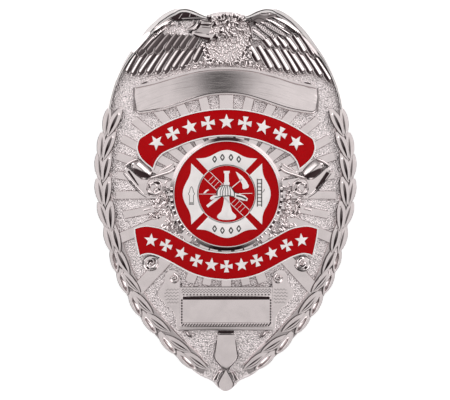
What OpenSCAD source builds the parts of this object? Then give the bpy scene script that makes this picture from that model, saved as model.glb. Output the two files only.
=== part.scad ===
// Firefighter badge: a domed, hollow-backed casting with a spread eagle, laurel,
// rays, a name panel and a number panel in relief, two enamelled ribbons, an applied
// round seal, and a pin clasp soldered in the hollow.
// It lies face up. +Y is toward the eagle, +Z toward the viewer, and z = 0 is the
// flat rim that it lies on. Tables hold shares of the named sizes.

/* [Body] */
// Width across the laurel
badge_w = 52; // [46:0.5:58]
// Height from the wing tops to the finial's tip
badge_h = 76.6; // [70:0.2:84]
// Height of the field at its crown
crown_h = 5.6; // [5.2:0.1:6.6]
// Drop of the dome from the crown to the side edge
dome_drop = 4; // [3.4:0.1:4.4]
// Wall between the field's crown and the hollow
wall_t = 1.8; // [1.5:0.1:2.2]
// Width of the flat rim at the sides
rim_w = 2; // [1.4:0.1:3]

/* [Field relief] */
// Height of the rays above the field
ray_h = 0.35; // [0.2:0.05:0.6]
// Height of the laurel's leaves above the field
leaf_h = 0.9; // [0.6:0.1:1.3]
// Half-width of a laurel leaf
leaf_half = 0.95; // [0.7:0.05:1.1]
// Leaf pairs down each side
leaf_pairs = 12; // [9:1:15]

/* [Eagle] */
// Thickness of one row of feathers; each higher row lies on the one below it
feather_h = 0.6; // [0.4:0.05:0.8]
// Height of the eagle's head above the field
head_h = 2.4; // [1.6:0.1:3]

/* [Name panel] */
// Length of the blank name panel
panel_l = 36.6; // [30:0.2:40]
// Height of the name panel
panel_b = 5; // [3.5:0.1:6]
// How far the name panel's ends hang below its middle
panel_sag = 3.8; // [2.5:0.1:4.5]
// Space between the upper ribbon and the name panel
panel_gap = 3; // [2:0.1:3.6]
// Height of the name panel above the field
panel_h = 0.4; // [0.25:0.05:0.7]

/* [Ribbons] */
// Width of both ribbons
ribbon_w = 5.6; // [4.6:0.1:6.2]
// Height of both ribbons above the field
ribbon_h = 1.2; // [0.9:0.1:1.6]
// Metal rim around the enamel
ribbon_rim = 0.3; // [0.2:0.05:0.5]
// Depth of the enamel's cell
cell_d = 0.4; // [0.25:0.05:0.6]
// Radius of the upper ribbon's outer edge
upper_r = 28.2; // [26:0.2:32]
// Angle from the upper ribbon's middle to its end
upper_a = 42.6; // [36:0.2:46]
// Length of the lower ribbon
lower_l = 35.8; // [31:0.2:38]
// Rise of the lower ribbon's ends above its middle
lower_rise = 5.3; // [4:0.1:6.5]
// Space between the seal and the upper ribbon
upper_gap = 0.15; // [0.1:0.05:0.8]
// Space between the seal and the lower ribbon
lower_gap = 0.3; // [0.1:0.05:0.8]
// Ornaments on the upper ribbon
upper_n = 9; // [5:2:11]
// Ornaments on the lower ribbon
lower_n = 11; // [7:2:13]
// Size across an upper ribbon's ornament
upper_mark = 3.1; // [2.2:0.1:3.4]
// Size across a lower ribbon's ornament
lower_mark = 2.8; // [2:0.1:2.9]

/* [Seal] */
// Diameter of the seal's collar
seal_d = 22.6; // [20:0.2:24]
// Centre of the seal above the badge's middle
seal_y = 1.1; // [0:0.1:2]
// Height of the seal's rim above its seat
seal_h = 2.6; // [2:0.1:3.2]
// Depth of the seat below the crown
seat_d = 0.9; // [0.75:0.05:1.1]
// Width of the reeded collar
collar_w = 0.8; // [0.5:0.1:1.2]
// Width of the plain rim inside the collar
seal_rim = 0.45; // [0.3:0.05:0.8]
// Reeds around the collar
reeds = 72; // [48:4:96]
// Width of the enamel gaps between the cross's arms
arm_gap = 1.1; // [0.7:0.1:1.5]
// Radius of the ring around the crossed tools
core_r = 5.65; // [4.8:0.05:6]

/* [Number panel] */
// Width of the number panel's floor
number_w = 17.6; // [14:0.2:20]
// Height of the number panel's floor
number_b = 4.7; // [3.6:0.1:5.4]
// Height of the number panel's frame above the field
frame_h = 0.9; // [0.7:0.1:1.2]
// Width of the pedestal at its widest
pedestal_w = 27.2; // [24:0.2:30]
// Space between the lower ribbon and the number panel's floor
number_gap = 3.9; // [3.4:0.1:4.6]

/* [Pin clasp] */
// Length of the clasp's plate
pin_l = 32; // [26:1:36]
// Width of the clasp's plate
pin_b = 5; // [4:0.5:7]
// Thickness of the clasp's plate
pin_t = 0.8; // [0.6:0.1:1]
// Diameter of the pin's stem
stem_d = 0.9; // [0.7:0.1:1]
// Height of the stem's middle above the rim
stem_z = 1; // [0.8:0.1:1.2]
// Clearance between pieces that are soldered or fitted
fit_gap = 0.05; // [0.03:0.01:0.1]

/* [Hidden] */
$fn = 64;
half_w = badge_w / 2;
half_h = badge_h / 2;
hollow_h = crown_h - wall_t;
seal_r = seal_d / 2;
seat_z = crown_h - seat_d;
sink = 0.3;
above = 12;
silver = [0.82, 0.81, 0.81];
red = [0.68, 0.07, 0.1];

// Right half of the outline, from the middle of the top to the middle of the bottom:
// [x share of half the width, y share of half the height]
outline_rows = [
    [0, 0.966], [0.085, 0.945], [0.131, 0.937], [0.177, 0.966], [0.238, 0.99],
    [0.3, 1], [0.369, 0.99], [0.438, 0.966], [0.508, 0.932], [0.573, 0.893],
    [0.65, 0.836], [0.735, 0.757], [0.795, 0.69], [0.846, 0.61], [0.888, 0.527],
    [0.918, 0.43], [0.955, 0.313], [0.982, 0.2], [0.992, 0.065], [0.979, -0.04],
    [0.946, -0.157], [0.896, -0.27], [0.831, -0.392], [0.76, -0.5], [0.675, -0.585],
    [0.58, -0.675], [0.446, -0.773], [0.354, -0.836], [0.254, -0.888], [0.177, -0.919],
    [0.1, -0.942], [0.06, -0.965], [0.035, -0.99], [0, -1]
];

// Line along the middle of the laurel, from its top down: shares as in the outline
laurel_rows = [
    [0.85, 0.47], [0.905, 0.342], [0.932, 0.225], [0.938, 0.102], [0.925, -0.026],
    [0.893, -0.141], [0.845, -0.253], [0.782, -0.363], [0.702, -0.478], [0.6, -0.59],
    [0.478, -0.692], [0.342, -0.78], [0.208, -0.852], [0.09, -0.905]
];

// Rays: [angle, share of the way from the seal's middle to the edge, width]
ray_rows = [
    [90, 0.57, 3], [76.3, 0.53, 2], [62.7, 0.6, 2], [50.6, 0.76, 2], [39.7, 0.815, 1.6],
    [28.8, 0.86, 1.5], [17.5, 0.875, 1.6], [9, 0.83, 1.5], [0, 0.85, 1.7],
    [-10.4, 0.81, 1.4], [-22, 0.885, 2.2], [-47.7, 0.89, 2.7], [-67.3, 0.58, 2.2],
    [-77.6, 0.5, 1.9], [-90, 0.5, 2.2]
];

// Upper ribbon: [share of its half angle, inner edge and outer edge as shares of its width]
upper_rows = [
    [0, 0, 1], [0.25, 0.02, 1], [0.5, 0.08, 1], [0.67, 0.1, 1], [0.8, 0.09, 1],
    [0.85, 0.06, 1], [0.9, 0.02, 0.94], [0.95, -0.08, 0.8], [0.985, -0.18, 0.6],
    [1, 0.02, 0.38]
];

// Lower ribbon's two edges: [share of its half length, share of its rise]
lower_top_rows = [
    [0, 0], [0.2, 0.075], [0.374, 0.29], [0.506, 0.528], [0.626, 0.755], [0.726, 0.915],
    [0.81, 0.98], [0.866, 1], [0.927, 0.97], [1, 0.906]
];
lower_base_rows = [
    [0, 0], [0.2, 0.066], [0.374, 0.236], [0.506, 0.449], [0.626, 0.68], [0.726, 0.85],
    [0.81, 0.953], [0.866, 0.98], [0.92, 0.93], [0.961, 0.868]
];

// Pedestal's right side: [share of its half width, share of its height], top down
pedestal_rows = [
    [0.77, 1], [0.86, 0.93], [0.87, 0.8], [0.93, 0.66], [1, 0.6], [0.96, 0.5],
    [0.89, 0.44], [0.86, 0.36], [0.79, 0.34], [0.72, 0.24], [0.7, 0]
];

function dome(x, y) = crown_h - dome_drop * (pow(x / half_w, 2) + pow(y / half_h, 2));
function on_badge(row) = [row[0] * half_w, row[1] * half_h];
function left(p) = [-p[0], p[1]];
function mix(a, b, t) = a * (1 - t) + b * t;

right_edge = [for (row = outline_rows) on_badge(row)];
outline = concat(right_edge, [for (i = [len(right_edge) - 2 : -1 : 1]) left(right_edge[i])]);

// Distance from the badge's middle to the outline in a direction from -90 to 90 degrees
edge_by_angle = [for (i = [len(right_edge) - 1 : -1 : 0])
    [atan2(right_edge[i][1], right_edge[i][0]), norm(right_edge[i])]];
function edge_at(a) = lookup(a, edge_by_angle);

// Places that several pieces share
upper_inner_y = seal_y + seal_r + upper_gap;
upper_mid_y = upper_inner_y + ribbon_w - upper_r;
upper_outer_y = upper_inner_y + ribbon_w;
lower_top_y = seal_y - seal_r - lower_gap;
lower_base_y = lower_top_y - ribbon_w;
panel_y = upper_outer_y + panel_gap;
number_y = lower_base_y - number_gap - number_b / 2;

// Triangles between two rings of n points that start at a and b
function band(a, b, n) = [for (i = [0 : n - 1]) each
    [[a + i, b + i, b + (i + 1) % n], [a + i, b + (i + 1) % n, a + (i + 1) % n]]];
function fan(a, tip, n) = [for (i = [0 : n - 1]) [a + i, tip, a + (i + 1) % n]];
function turned(faces) = [for (f = faces) [f[2], f[1], f[0]]];

// Solid through a row of sections, each a ring of the same number of points
module loft(sections) {
    n = len(sections[0]);
    last = len(sections) - 1;
    polyhedron(
        points = [for (s = sections) each s],
        faces = concat(
            [for (k = [0 : last - 1]) each band(k * n, (k + 1) * n, n)],
            [[for (i = [0 : n - 1]) i]],
            [[for (i = [n - 1 : -1 : 0]) last * n + i]]
        ),
        convexity = 4
    );
}

// Slab that follows the dome over a box, between two heights above the field
module dome_slab(box, h0, h1, step) {
    nx = ceil((box[2] - box[0]) / step);
    ny = ceil((box[3] - box[1]) / step);
    ring = [for (i = [0 : nx]) box[0] + (box[2] - box[0]) * i / nx];
    row = [for (j = [0 : ny]) box[1] + (box[3] - box[1]) * j / ny];
    m = nx + 1;
    top = m * (ny + 1);
    cells = [for (j = [0 : ny - 1], i = [0 : nx - 1]) j * m + i];
    polyhedron(
        points = concat(
            [for (y = row, x = ring) [x, y, dome(x, y) + h0]],
            [for (y = row, x = ring) [x, y, dome(x, y) + h1]]
        ),
        faces = concat(
            [for (c = cells) each [[c, c + 1, c + m + 1], [c, c + m + 1, c + m]]],
            [for (c = cells) each [
                [top + c, top + c + m + 1, top + c + 1],
                [top + c, top + c + m, top + c + m + 1]
            ]],
            [for (i = [0 : nx - 1]) each [
                [i, top + i, top + i + 1],
                [i, top + i + 1, i + 1],
                [ny * m + i, ny * m + i + 1, top + ny * m + i + 1],
                [ny * m + i, top + ny * m + i + 1, top + ny * m + i]
            ]],
            [for (j = [0 : ny - 1]) each [
                [j * m, top + (j + 1) * m, top + j * m],
                [j * m, (j + 1) * m, top + (j + 1) * m],
                [j * m + nx, top + j * m + nx, top + (j + 1) * m + nx],
                [j * m + nx, top + (j + 1) * m + nx, (j + 1) * m + nx]
            ]]
        ),
        convexity = 4
    );
}

// A flat shape laid on the dome, between two heights above the field
module lay(box, h0, h1, step = 6) {
    intersection() {
        dome_slab(box, h0, h1, step);
        linear_extrude(above) children();
    }
}

// A blade from a to b: rows are [share along, share of the half width, share of the height].
// Its sides go down into the field, its ridge stands h above it, its edges stand e above it.
module blade(a, b, half, e, h, rows) {
    d = (b - a) / norm(b - a);
    side = [-d[1], d[0]];
    function ring(r) =
        let (
            p = mix(a, b, r[0]),
            q = side * half * r[1],
            z = dome(p[0], p[1])
        )
        [
            [p[0] - q[0], p[1] - q[1], z - sink],
            [p[0] + q[0], p[1] + q[1], z - sink],
            [p[0] + q[0], p[1] + q[1], z + e],
            [p[0], p[1], z + e + (h - e) * r[2]],
            [p[0] - q[0], p[1] - q[1], z + e]
        ];
    loft([for (r = rows) ring(r)]);
}

// The same with edges that meet the field, for leaves and the lowest feathers
module low_blade(a, b, half, h, rows) {
    d = (b - a) / norm(b - a);
    side = [-d[1], d[0]];
    function ring(r) =
        let (
            p = mix(a, b, r[0]),
            q = side * half * r[1],
            z = dome(p[0], p[1])
        )
        [
            [p[0] - q[0], p[1] - q[1], z - sink],
            [p[0] + q[0], p[1] + q[1], z - sink],
            [p[0], p[1], z - sink + (h + sink) * r[2]]
        ];
    loft([for (r = rows) ring(r)]);
}

// A flat-topped bar from a to b that follows the dome
module bar(a, b, half, h) {
    d = (b - a) / norm(b - a);
    side = [-d[1], d[0]] * half;
    function ring(t) =
        let (p = mix(a, b, t), z = dome(p[0], p[1]))
        [
            [p[0] - side[0], p[1] - side[1], z - sink],
            [p[0] + side[0], p[1] + side[1], z - sink],
            [p[0] + side[0], p[1] + side[1], z + h],
            [p[0] - side[0], p[1] - side[1], z + h]
        ];
    loft([ring(0), ring(0.5), ring(1)]);
}

leaf_shape = [[0, 0.3, 0.5], [0.45, 1, 1], [1, 0.1, 0.5]];
feather_shape = [[0, 0.9, 0.8], [0.8, 1, 1], [1, 0.35, 0.6]];

// Both halves of something drawn on the right
module both() {
    children();
    mirror([1, 0, 0]) children();
}

// Domed shell with a hollow back and a flat rim
module shell() {
    n = len(outline);
    seat = 1 - rim_w / half_w;
    tops = [1, 0.77, 0.51, 0.26];
    unders = [1, 0.75, 0.4];
    crown = n * (1 + len(tops));
    under = crown + 1;
    ceiling = under + n * len(unders);
    polyhedron(
        points = concat(
            [for (p = outline) [p[0], p[1], 0]],
            [for (s = tops, p = outline) [p[0] * s, p[1] * s, dome(p[0] * s, p[1] * s)]],
            [[0, 0, crown_h]],
            [for (s = unders, p = outline) [p[0] * s * seat, p[1] * s * seat,
                hollow_h * (1 - s * s)]],
            [[0, 0, hollow_h]]
        ),
        faces = concat(
            [for (k = [0 : len(tops) - 1]) each turned(band(k * n, (k + 1) * n, n))],
            turned(fan(n * len(tops), crown, n)),
            band(0, under, n),
            [for (k = [0 : len(unders) - 2]) each band(under + k * n, under + (k + 1) * n, n)],
            fan(under + n * (len(unders) - 1), ceiling, n)
        ),
        convexity = 6
    );
}

module rays() {
    for (row = ray_rows, a = row[0] == 90 || row[0] == -90 ? [row[0]] : [row[0], 180 - row[0]]) {
        d = [cos(a), sin(a)];
        start = [0, seal_y] + d * (seal_r - 0.5);
        end = [0, seal_y] + d * edge_at(row[0]) * row[1];
        bar(start, end, row[2] / 2, ray_h);
    }
}

// Point at a share of the way along the laurel's line
function laurel_at(t) =
    let (
        u = t * (len(laurel_rows) - 1),
        i = min(floor(u), len(laurel_rows) - 2)
    )
    on_badge(mix(laurel_rows[i], laurel_rows[i + 1], u - i));

// Pairs of leaves that point down to the finial
module laurel() {
    for (i = [0 : leaf_pairs - 1]) {
        a = laurel_at(i / leaf_pairs);
        b = laurel_at((i + 1) / leaf_pairs);
        pitch = norm(b - a);
        d = (b - a) / pitch;
        out = [-d[1], d[0]];
        for (s = [-1, 1]) {
            base = a + out * s * 0.6 * leaf_half;
            tip = a + d * pitch * 1.2 + out * s * 1.3 * leaf_half;
            low_blade(base, tip, leaf_half, leaf_h, leaf_shape);
        }
    }
}

// Row of n feathers with tips from a to b, as one ridged sheet whose valleys stand at
// height low and ridges at height high. The quills lean by an angle that changes along
// the row, and each ridge's tip reaches past its valleys.
module feather_row(a, b, n, length, lean, low, high) {
    last = 2 * n;
    function place(j, s, z) =
        let (
            angle = mix(lean[0], lean[1], j / last),
            p = mix(a, b, j / last) + s * length * [cos(angle), sin(angle)]
        )
        [p[0], p[1], dome(p[0], p[1]) + z];
    function ring(j) = j % 2 == 0
        ? [place(j, 1, -sink), place(j, 0.12, -sink), place(j, 0.12, low), place(j, 1, low)]
        : [place(j, 1, -sink), place(j, 0, -sink), place(j, 0, low), place(j, 0.15, high),
            place(j, 1, high)];
    loft([for (j = [0 : last]) j % 2 == 0
        ? [ring(j)[0], ring(j)[1], ring(j)[2], mix(ring(j)[2], ring(j)[3], 0.15), ring(j)[3]]
        : ring(j)]);
}

module wing() {
    // Leading edge, a plain raised band along the outline
    loft([for (i = [3 : 12])
        let (
            p = on_badge(mix(outline_rows[i], outline_rows[i + 1], 0.45)) * 0.99,
            q = [p[0] * 0.95, p[1] * 0.965],
            z = dome(p[0], p[1])
        )
        [[q[0], q[1], z - sink], [p[0], p[1], z - sink], [p[0], p[1], z + 0.7], [q[0], q[1], z + 1.3]]
    ]);
    feather_row(on_badge([0.86, 0.6]), on_badge([0.23, 0.7]), 8, 0.12 * badge_h, [130, 116],
        0.3 * feather_h, feather_h);
    feather_row(on_badge([0.76, 0.73]), on_badge([0.25, 0.79]), 7, 0.08 * badge_h, [140, 118],
        1.1 * feather_h, 1.9 * feather_h);
    feather_row(on_badge([0.66, 0.83]), on_badge([0.25, 0.85]), 5, 0.05 * badge_h, [148, 125],
        2 * feather_h, 2.7 * feather_h);
}

module eagle() {
    both() wing();
    // Chest with rows of small feathers
    mound([0.01, 0.82], [0.01, 0.73], 0.14 * half_w, head_h * 0.5);
    feather_row(on_badge([0.17, 0.7]), on_badge([-0.15, 0.7]), 4, 0.12 * half_h, [90, 90],
        0.3 * head_h, 0.5 * head_h);
    feather_row(on_badge([0.16, 0.76]), on_badge([-0.14, 0.76]), 5, 0.12 * half_h, [90, 90],
        0.52 * head_h, 0.75 * head_h);
    // Head turned to the viewer's left, with its beak
    mound([0.04, 0.88], [-0.06, 0.9], 0.11 * half_w, head_h);
    mound([-0.08, 0.895], [-0.19, 0.89], 0.055 * half_w, head_h * 0.85);
    mound([-0.2, 0.885], [-0.25, 0.84], 0.025 * half_w, head_h * 0.7);
}

// A rounded mound on the field from share a to share b of the badge
module mound(a, b, r, h) {
    hull() {
        for (p = [on_badge(a), on_badge(b)])
            translate([p[0], p[1], dome(p[0], p[1]) - sink]) {
                cylinder(r = r, h = sink + 0.5 * h, $fn = 10);
                cylinder(r = 0.55 * r, h = sink + h, $fn = 10);
            }
    }
}

// Blank name panel: its edges sag toward the ends
module panel_shape() {
    steps = 6;
    xs = [for (i = [-steps : steps]) i / steps];
    offset(delta = 0.6, chamfer = true) offset(delta = -0.6) polygon(concat(
        [for (s = xs) [s * panel_l / 2, panel_y - panel_sag * s * s]],
        [for (i = [len(xs) - 1 : -1 : 0])
            [xs[i] * panel_l / 2, panel_y + panel_b - panel_sag * xs[i] * xs[i]]]
    ));
}

module name_panel() {
    box = [-panel_l / 2 - 1, panel_y - panel_sag - 1, panel_l / 2 + 1, panel_y + panel_b + 1];
    lay(box, -sink, panel_h, 9) panel_shape();
    lay(box, 0, panel_h + 0.3, 9) difference() {
        panel_shape();
        offset(delta = -0.4) panel_shape();
    }
}

function upper_point(row, side, edge) =
    let (
        a = side * row[0] * upper_a,
        r = upper_r - ribbon_w * (1 - row[edge])
    )
    [r * sin(a), upper_mid_y + r * cos(a)];

module upper_shape() {
    last = len(upper_rows) - 1;
    polygon(concat(
        [for (i = [last : -1 : 0]) upper_point(upper_rows[i], -1, 2)],
        [for (i = [1 : last]) upper_point(upper_rows[i], 1, 2)],
        [for (i = [last : -1 : 0]) upper_point(upper_rows[i], 1, 1)],
        [for (i = [1 : last]) upper_point(upper_rows[i], -1, 1)]
    ));
}

function lower_point(row, side, y) = [side * row[0] * lower_l / 2, y + row[1] * lower_rise];

module lower_shape() {
    last = len(lower_top_rows) - 1;
    polygon(concat(
        [for (i = [last : -1 : 0]) lower_point(lower_top_rows[i], -1, lower_top_y)],
        [for (i = [1 : last]) lower_point(lower_top_rows[i], 1, lower_top_y)],
        [for (i = [last : -1 : 0]) lower_point(lower_base_rows[i], 1, lower_base_y)],
        [for (i = [1 : last]) lower_point(lower_base_rows[i], -1, lower_base_y)]
    ));
}

// Five-pointed star
module star_mark(size) {
    polygon([for (i = [0 : 9])
        size * (i % 2 == 0 ? 0.52 : 0.22) * [sin(i * 36), cos(i * 36)]]);
}

// Small cross with four flared arms
module cross_mark(size) {
    polygon([for (a = [0 : 90 : 270], p = [[-0.22, 0.5], [0.22, 0.5], [0.09, 0.09]])
        size * [p[0] * cos(a) + p[1] * sin(a), p[1] * cos(a) - p[0] * sin(a)]]);
}

module mark(i, size) {
    if (i % 2 == 0) star_mark(size);
    else cross_mark(size * 0.84);
}

module upper_marks() {
    pitch = upper_a * 1.55 / (upper_n - 1);
    for (i = [0 : upper_n - 1]) {
        a = (i - (upper_n - 1) / 2) * pitch;
        r = upper_r - ribbon_w * 0.47;
        translate([r * sin(a), upper_mid_y + r * cos(a)]) rotate(-a) mark(i, upper_mark);
    }
}

module lower_marks() {
    pitch = lower_l * 0.84 / (lower_n - 1);
    for (i = [0 : lower_n - 1]) {
        x = (i - (lower_n - 1) / 2) * pitch;
        s = abs(x) * 2 / lower_l;
        rise = (lookup(s, lower_top_rows) + lookup(s, lower_base_rows)) / 2 * lower_rise;
        translate([x, (lower_top_y + lower_base_y) / 2 + rise]) mark(i, lower_mark);
    }
}

upper_box = [-upper_r * sin(upper_a) - 1, upper_mid_y + (upper_r - ribbon_w) * cos(upper_a) - 3,
    upper_r * sin(upper_a) + 1, upper_outer_y + 1];
lower_box = [-lower_l / 2 - 1, lower_base_y - 1, lower_l / 2 + 1, lower_top_y + lower_rise + 1];

// Ribbon of metal: a floor under the enamel, a rim around it, ornaments up through it.
// The first child is the ribbon's shape, the second its ornaments.
module ribbon(box) {
    difference() {
        lay(box, -sink, ribbon_h) children(0);
        lay(box, ribbon_h - cell_d, ribbon_h + 1) difference() {
            offset(delta = -ribbon_rim) children(0);
            children(1);
        }
    }
}

module ribbon_enamel(box) {
    difference() {
        lay(box, ribbon_h - cell_d + fit_gap, ribbon_h - fit_gap) difference() {
            offset(delta = -ribbon_rim - fit_gap) children(0);
            offset(delta = fit_gap) children(1);
        }
        seal_seat();
    }
}

// Room for the seal, cut down to its flat seat
module seal_seat() {
    translate([0, seal_y, seat_z]) cylinder(r = seal_r + fit_gap, h = above, $fn = 96);
}

// Folds, volutes and leaf sprays at the ribbon's ends, placed from the upper ribbon's tip
module scrolls() {
    tip = upper_point(upper_rows[8], 1, 1);
    function at(x, y, h) = [tip[0] + x, tip[1] + y, dome(tip[0] + x, tip[1] + y) + h];
    // Polished fold that rolls under the ribbon's end
    hull() {
        translate(at(4.2, 1.6, 0.2)) sphere(r = 1, $fn = 8);
        translate(at(-0.4, -0.9, 0.2)) sphere(r = 1.15, $fn = 8);
    }
    hull() {
        translate(at(4, 1.2, -sink)) cylinder(r = 0.4, h = 0.9, $fn = 6);
        translate(at(-0.2, -1.2, -sink)) cylinder(r = 0.5, h = 0.9, $fn = 6);
        translate(at(1.6, -5, -sink)) cylinder(r = 0.35, h = 0.8, $fn = 6);
    }
    // Volute and its tendril
    translate(at(-0.3, -3.5, -sink)) cylinder(r = 1.66, h = 1.1, $fn = 14);
    translate(at(-0.3, -3.5, 0.5)) cylinder(r1 = 1.1, r2 = 0.4, h = 0.6, $fn = 10);
    for (p = [[2, -1.9, -1.2, -0.6], [-1.2, -0.6, -4.2, 0.8]])
        bar([tip[0] + p[0], tip[1] + p[1]], [tip[0] + p[2], tip[1] + p[3]], 0.35, 0.6);
    // Spray of small leaves between the volute and the seal
    for (p = [[-0.6, -5.4, -2.4, -6.9], [0.4, -5.6, -0.4, -8.6], [-1.6, -5.2, -4, -8], [1.2, -6.2, 1.4, -9.2]])
        low_blade([tip[0] + p[0], tip[1] + p[1]], [tip[0] + p[2], tip[1] + p[3]], 0.7, 0.8, leaf_shape);
}

// Shiny curls under the lower ribbon's ends
module curls() {
    at = [0.85 * lower_l / 2, lower_base_y + 0.64 * lower_rise];
    translate([at[0], at[1], dome(at[0], at[1]) - sink]) {
        cylinder(r = 1.6, h = 0.9 + sink, $fn = 14);
        translate([0, 0, 0.8 + sink]) cylinder(r1 = 1.2, r2 = 0.5, h = 0.5, $fn = 10);
    }
}

// Pedestal, and the framed number panel in front of it
pedestal_b = number_b + number_gap + 4.6;
frame_w = number_w + 1.4;

module pedestal_shape() {
    y0 = number_y - number_b / 2 - 1.6;
    right = [for (row = pedestal_rows) [row[0] * pedestal_w / 2, y0 + row[1] * pedestal_b]];
    polygon(concat(right, [for (i = [len(right) - 1 : -1 : 0]) left(right[i])]));
}

module number_panel() {
    box = [-pedestal_w / 2 - 1, number_y - number_b / 2 - 3, pedestal_w / 2 + 1, lower_base_y + 4];
    lay(box, -sink, 0.4) pedestal_shape();
    // Small volutes on the pedestal's shoulders
    both() translate([0.78 * pedestal_w / 2, number_y + number_b / 2 + 4.3, dome(0.4 * pedestal_w, number_y) - sink])
        cylinder(r = 1.1, h = 1.3, $fn = 12);
    // Frame, with a bead strip above it and a rope strip below it
    lay(box, -sink, frame_h) difference() {
        translate([0, number_y + 0.35]) square([frame_w, number_b + 2.9], center = true);
        translate([0, number_y]) square([number_w, number_b], center = true);
    }
    for (i = [-3 : 3])
        translate([i * frame_w / 8, number_y + number_b / 2 + 0.95,
            dome(i * frame_w / 8, number_y + number_b / 2) + frame_h - 0.1])
            cylinder(r = 0.4, h = 0.35, $fn = 6);
    lay(box, -sink, frame_h - 0.3) translate([0, number_y - number_b / 2 - 1.2])
        square([frame_w + 1.2, 0.9], center = true);
}

// Finial: a strip down from the number panel, two ribbon ends and a drop
module finial() {
    top = number_y - number_b / 2 - 1.9;
    foot = -half_h;
    neck = foot + 4.3;
    blade([0, top], [0, neck - 0.1], 2.04, 0.7, 1.1, [[0, 0.86, 0.2], [0.7, 1, 0.6], [1, 0.15, 1]]);
    blade([0, neck + 0.2], [0, foot + 0.1], 1.45, 0.3, 0.9, [[0, 0.3, 0.5], [0.65, 1, 1], [1, 0.1, 0.2]]);
    both() blade([0.93, neck + 0.46], [2.32, foot + 2.53], 0.57, 0.3, 0.7, leaf_shape);
}

// Flat pad in the hollow that the clasp is soldered to
pad_z = hollow_h * (1 - pow((pin_l / 2 + 1) / (half_h * 0.92 * (1 - rim_w / half_w)), 2)
    - pow((pin_b / 2 + 1) / (half_w * (1 - rim_w / half_w)), 2));

module body() color(silver) {
    difference() {
        union() {
            shell();
            rays();
            both() laurel();
            eagle();
            name_panel();
            ribbon(upper_box) {
                upper_shape();
                upper_marks();
            }
            ribbon(lower_box) {
                lower_shape();
                lower_marks();
            }
            both() scrolls();
            both() curls();
            number_panel();
            finial();
            translate([-pin_b / 2 - 0.5, -pin_l / 2 - 0.5, pad_z])
                cube([pin_b + 1, pin_l + 1, hollow_h - pad_z + 0.5]);
        }
        seal_seat();
        translate([0, 0, -above]) cube([2 * badge_w, 2 * badge_h, 2 * above], center = true);
    }
}

module upper_enamel() color(red) ribbon_enamel(upper_box) {
    upper_shape();
    upper_marks();
}

module lower_enamel() color(red) ribbon_enamel(lower_box) {
    lower_shape();
    lower_marks();
}

// Heights of the seal's parts above its seat
seal_floor = seal_h - 0.7;
seal_top = seal_h - 0.2;

// Four-armed cross whose ends bow out
module cross_shape() {
    bow_r = seal_r * 1.04;
    bow_c = seal_r * 0.27;
    difference() {
        intersection() {
            translate([0, -bow_c]) circle(r = bow_r);
            translate([0, bow_c]) circle(r = bow_r);
            translate([-bow_c, 0]) circle(r = bow_r);
            translate([bow_c, 0]) circle(r = bow_r);
        }
        for (a = [45, -45]) rotate(a) square([2 * seal_r, arm_gap], center = true);
        circle(r = core_r + 0.25);
    }
}

module ring_shape() {
    difference() {
        circle(r = core_r + 0.35);
        circle(r = core_r);
    }
}

// Crossed tools inside the ring, drawn in shares of the ring's radius
module tools_shape() {
    scale(core_r) intersection() {
        circle(r = 0.999);
        union() {
            // Bell and pipe of the horn
            polygon([[-0.45, -0.9], [0.45, -0.9], [0.3, -0.66], [0.14, -0.5], [0.11, 0.62],
                [0.16, 0.82], [-0.16, 0.82], [-0.11, 0.62], [-0.14, -0.5], [-0.3, -0.66]]);
            // Ladder from the upper left to the lower right
            rotate(38) {
                for (x = [-0.16, 0.16]) translate([x, 0]) square([0.09, 1.9], center = true);
                for (y = [-0.8 : 0.2 : 0.8]) translate([0, y]) square([0.3, 0.07], center = true);
            }
            // Axe from the lower left to the upper right
            rotate(-50) {
                square([0.1, 1.8], center = true);
                polygon([[-0.05, 0.5], [0.32, 0.36], [0.4, 0.62], [0.32, 0.88], [-0.05, 0.74]]);
                polygon([[0.05, 0.56], [-0.26, 0.6], [0.05, 0.7]]);
            }
            // Pike pole with its hook
            square([1.86, 0.09], center = true);
            polygon([[-0.78, 0.03], [-0.66, 0.26], [-0.58, 0.24], [-0.66, 0.03]]);
            // Helmet in front
            translate([-0.05, 0.1]) polygon([[-0.42, -0.18], [-0.36, 0.1], [-0.16, 0.3], [0.1, 0.3],
                [0.3, 0.12], [0.5, -0.12], [0.78, -0.3], [0.5, -0.34], [0.1, -0.26], [-0.2, -0.26]]);
        }
    }
}

module seal() color(silver) translate([0, seal_y, seat_z + fit_gap]) {
    difference() {
        cylinder(r = seal_r, h = seal_h);
        translate([0, 0, seal_floor]) cylinder(r = seal_r - collar_w - seal_rim, h = seal_h);
        // Step from the plain rim down to the collar, and the collar's reeds
        translate([0, 0, seal_h - 0.35]) difference() {
            cylinder(r = seal_r + 1, h = seal_h);
            cylinder(r = seal_r - collar_w, h = seal_h);
        }
        for (i = [0 : reeds - 1])
            rotate(i * 360 / reeds) translate([seal_r - 0.2, -0.17, seal_floor - 0.3])
                cube([1, 0.34, seal_h]);
    }
    translate([0, 0, seal_floor - 0.1]) linear_extrude(seal_top - seal_floor + 0.1) {
        cross_shape();
        ring_shape();
        tools_shape();
    }
}

module seal_enamel() color(red)
    translate([0, seal_y, seat_z + seal_floor + 2 * fit_gap])
        linear_extrude(seal_top - seal_floor - 2 * fit_gap) difference() {
            circle(r = seal_r - collar_w - seal_rim - fit_gap);
            offset(delta = fit_gap) {
                cross_shape();
                ring_shape();
                tools_shape();
            }
        }

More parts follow.
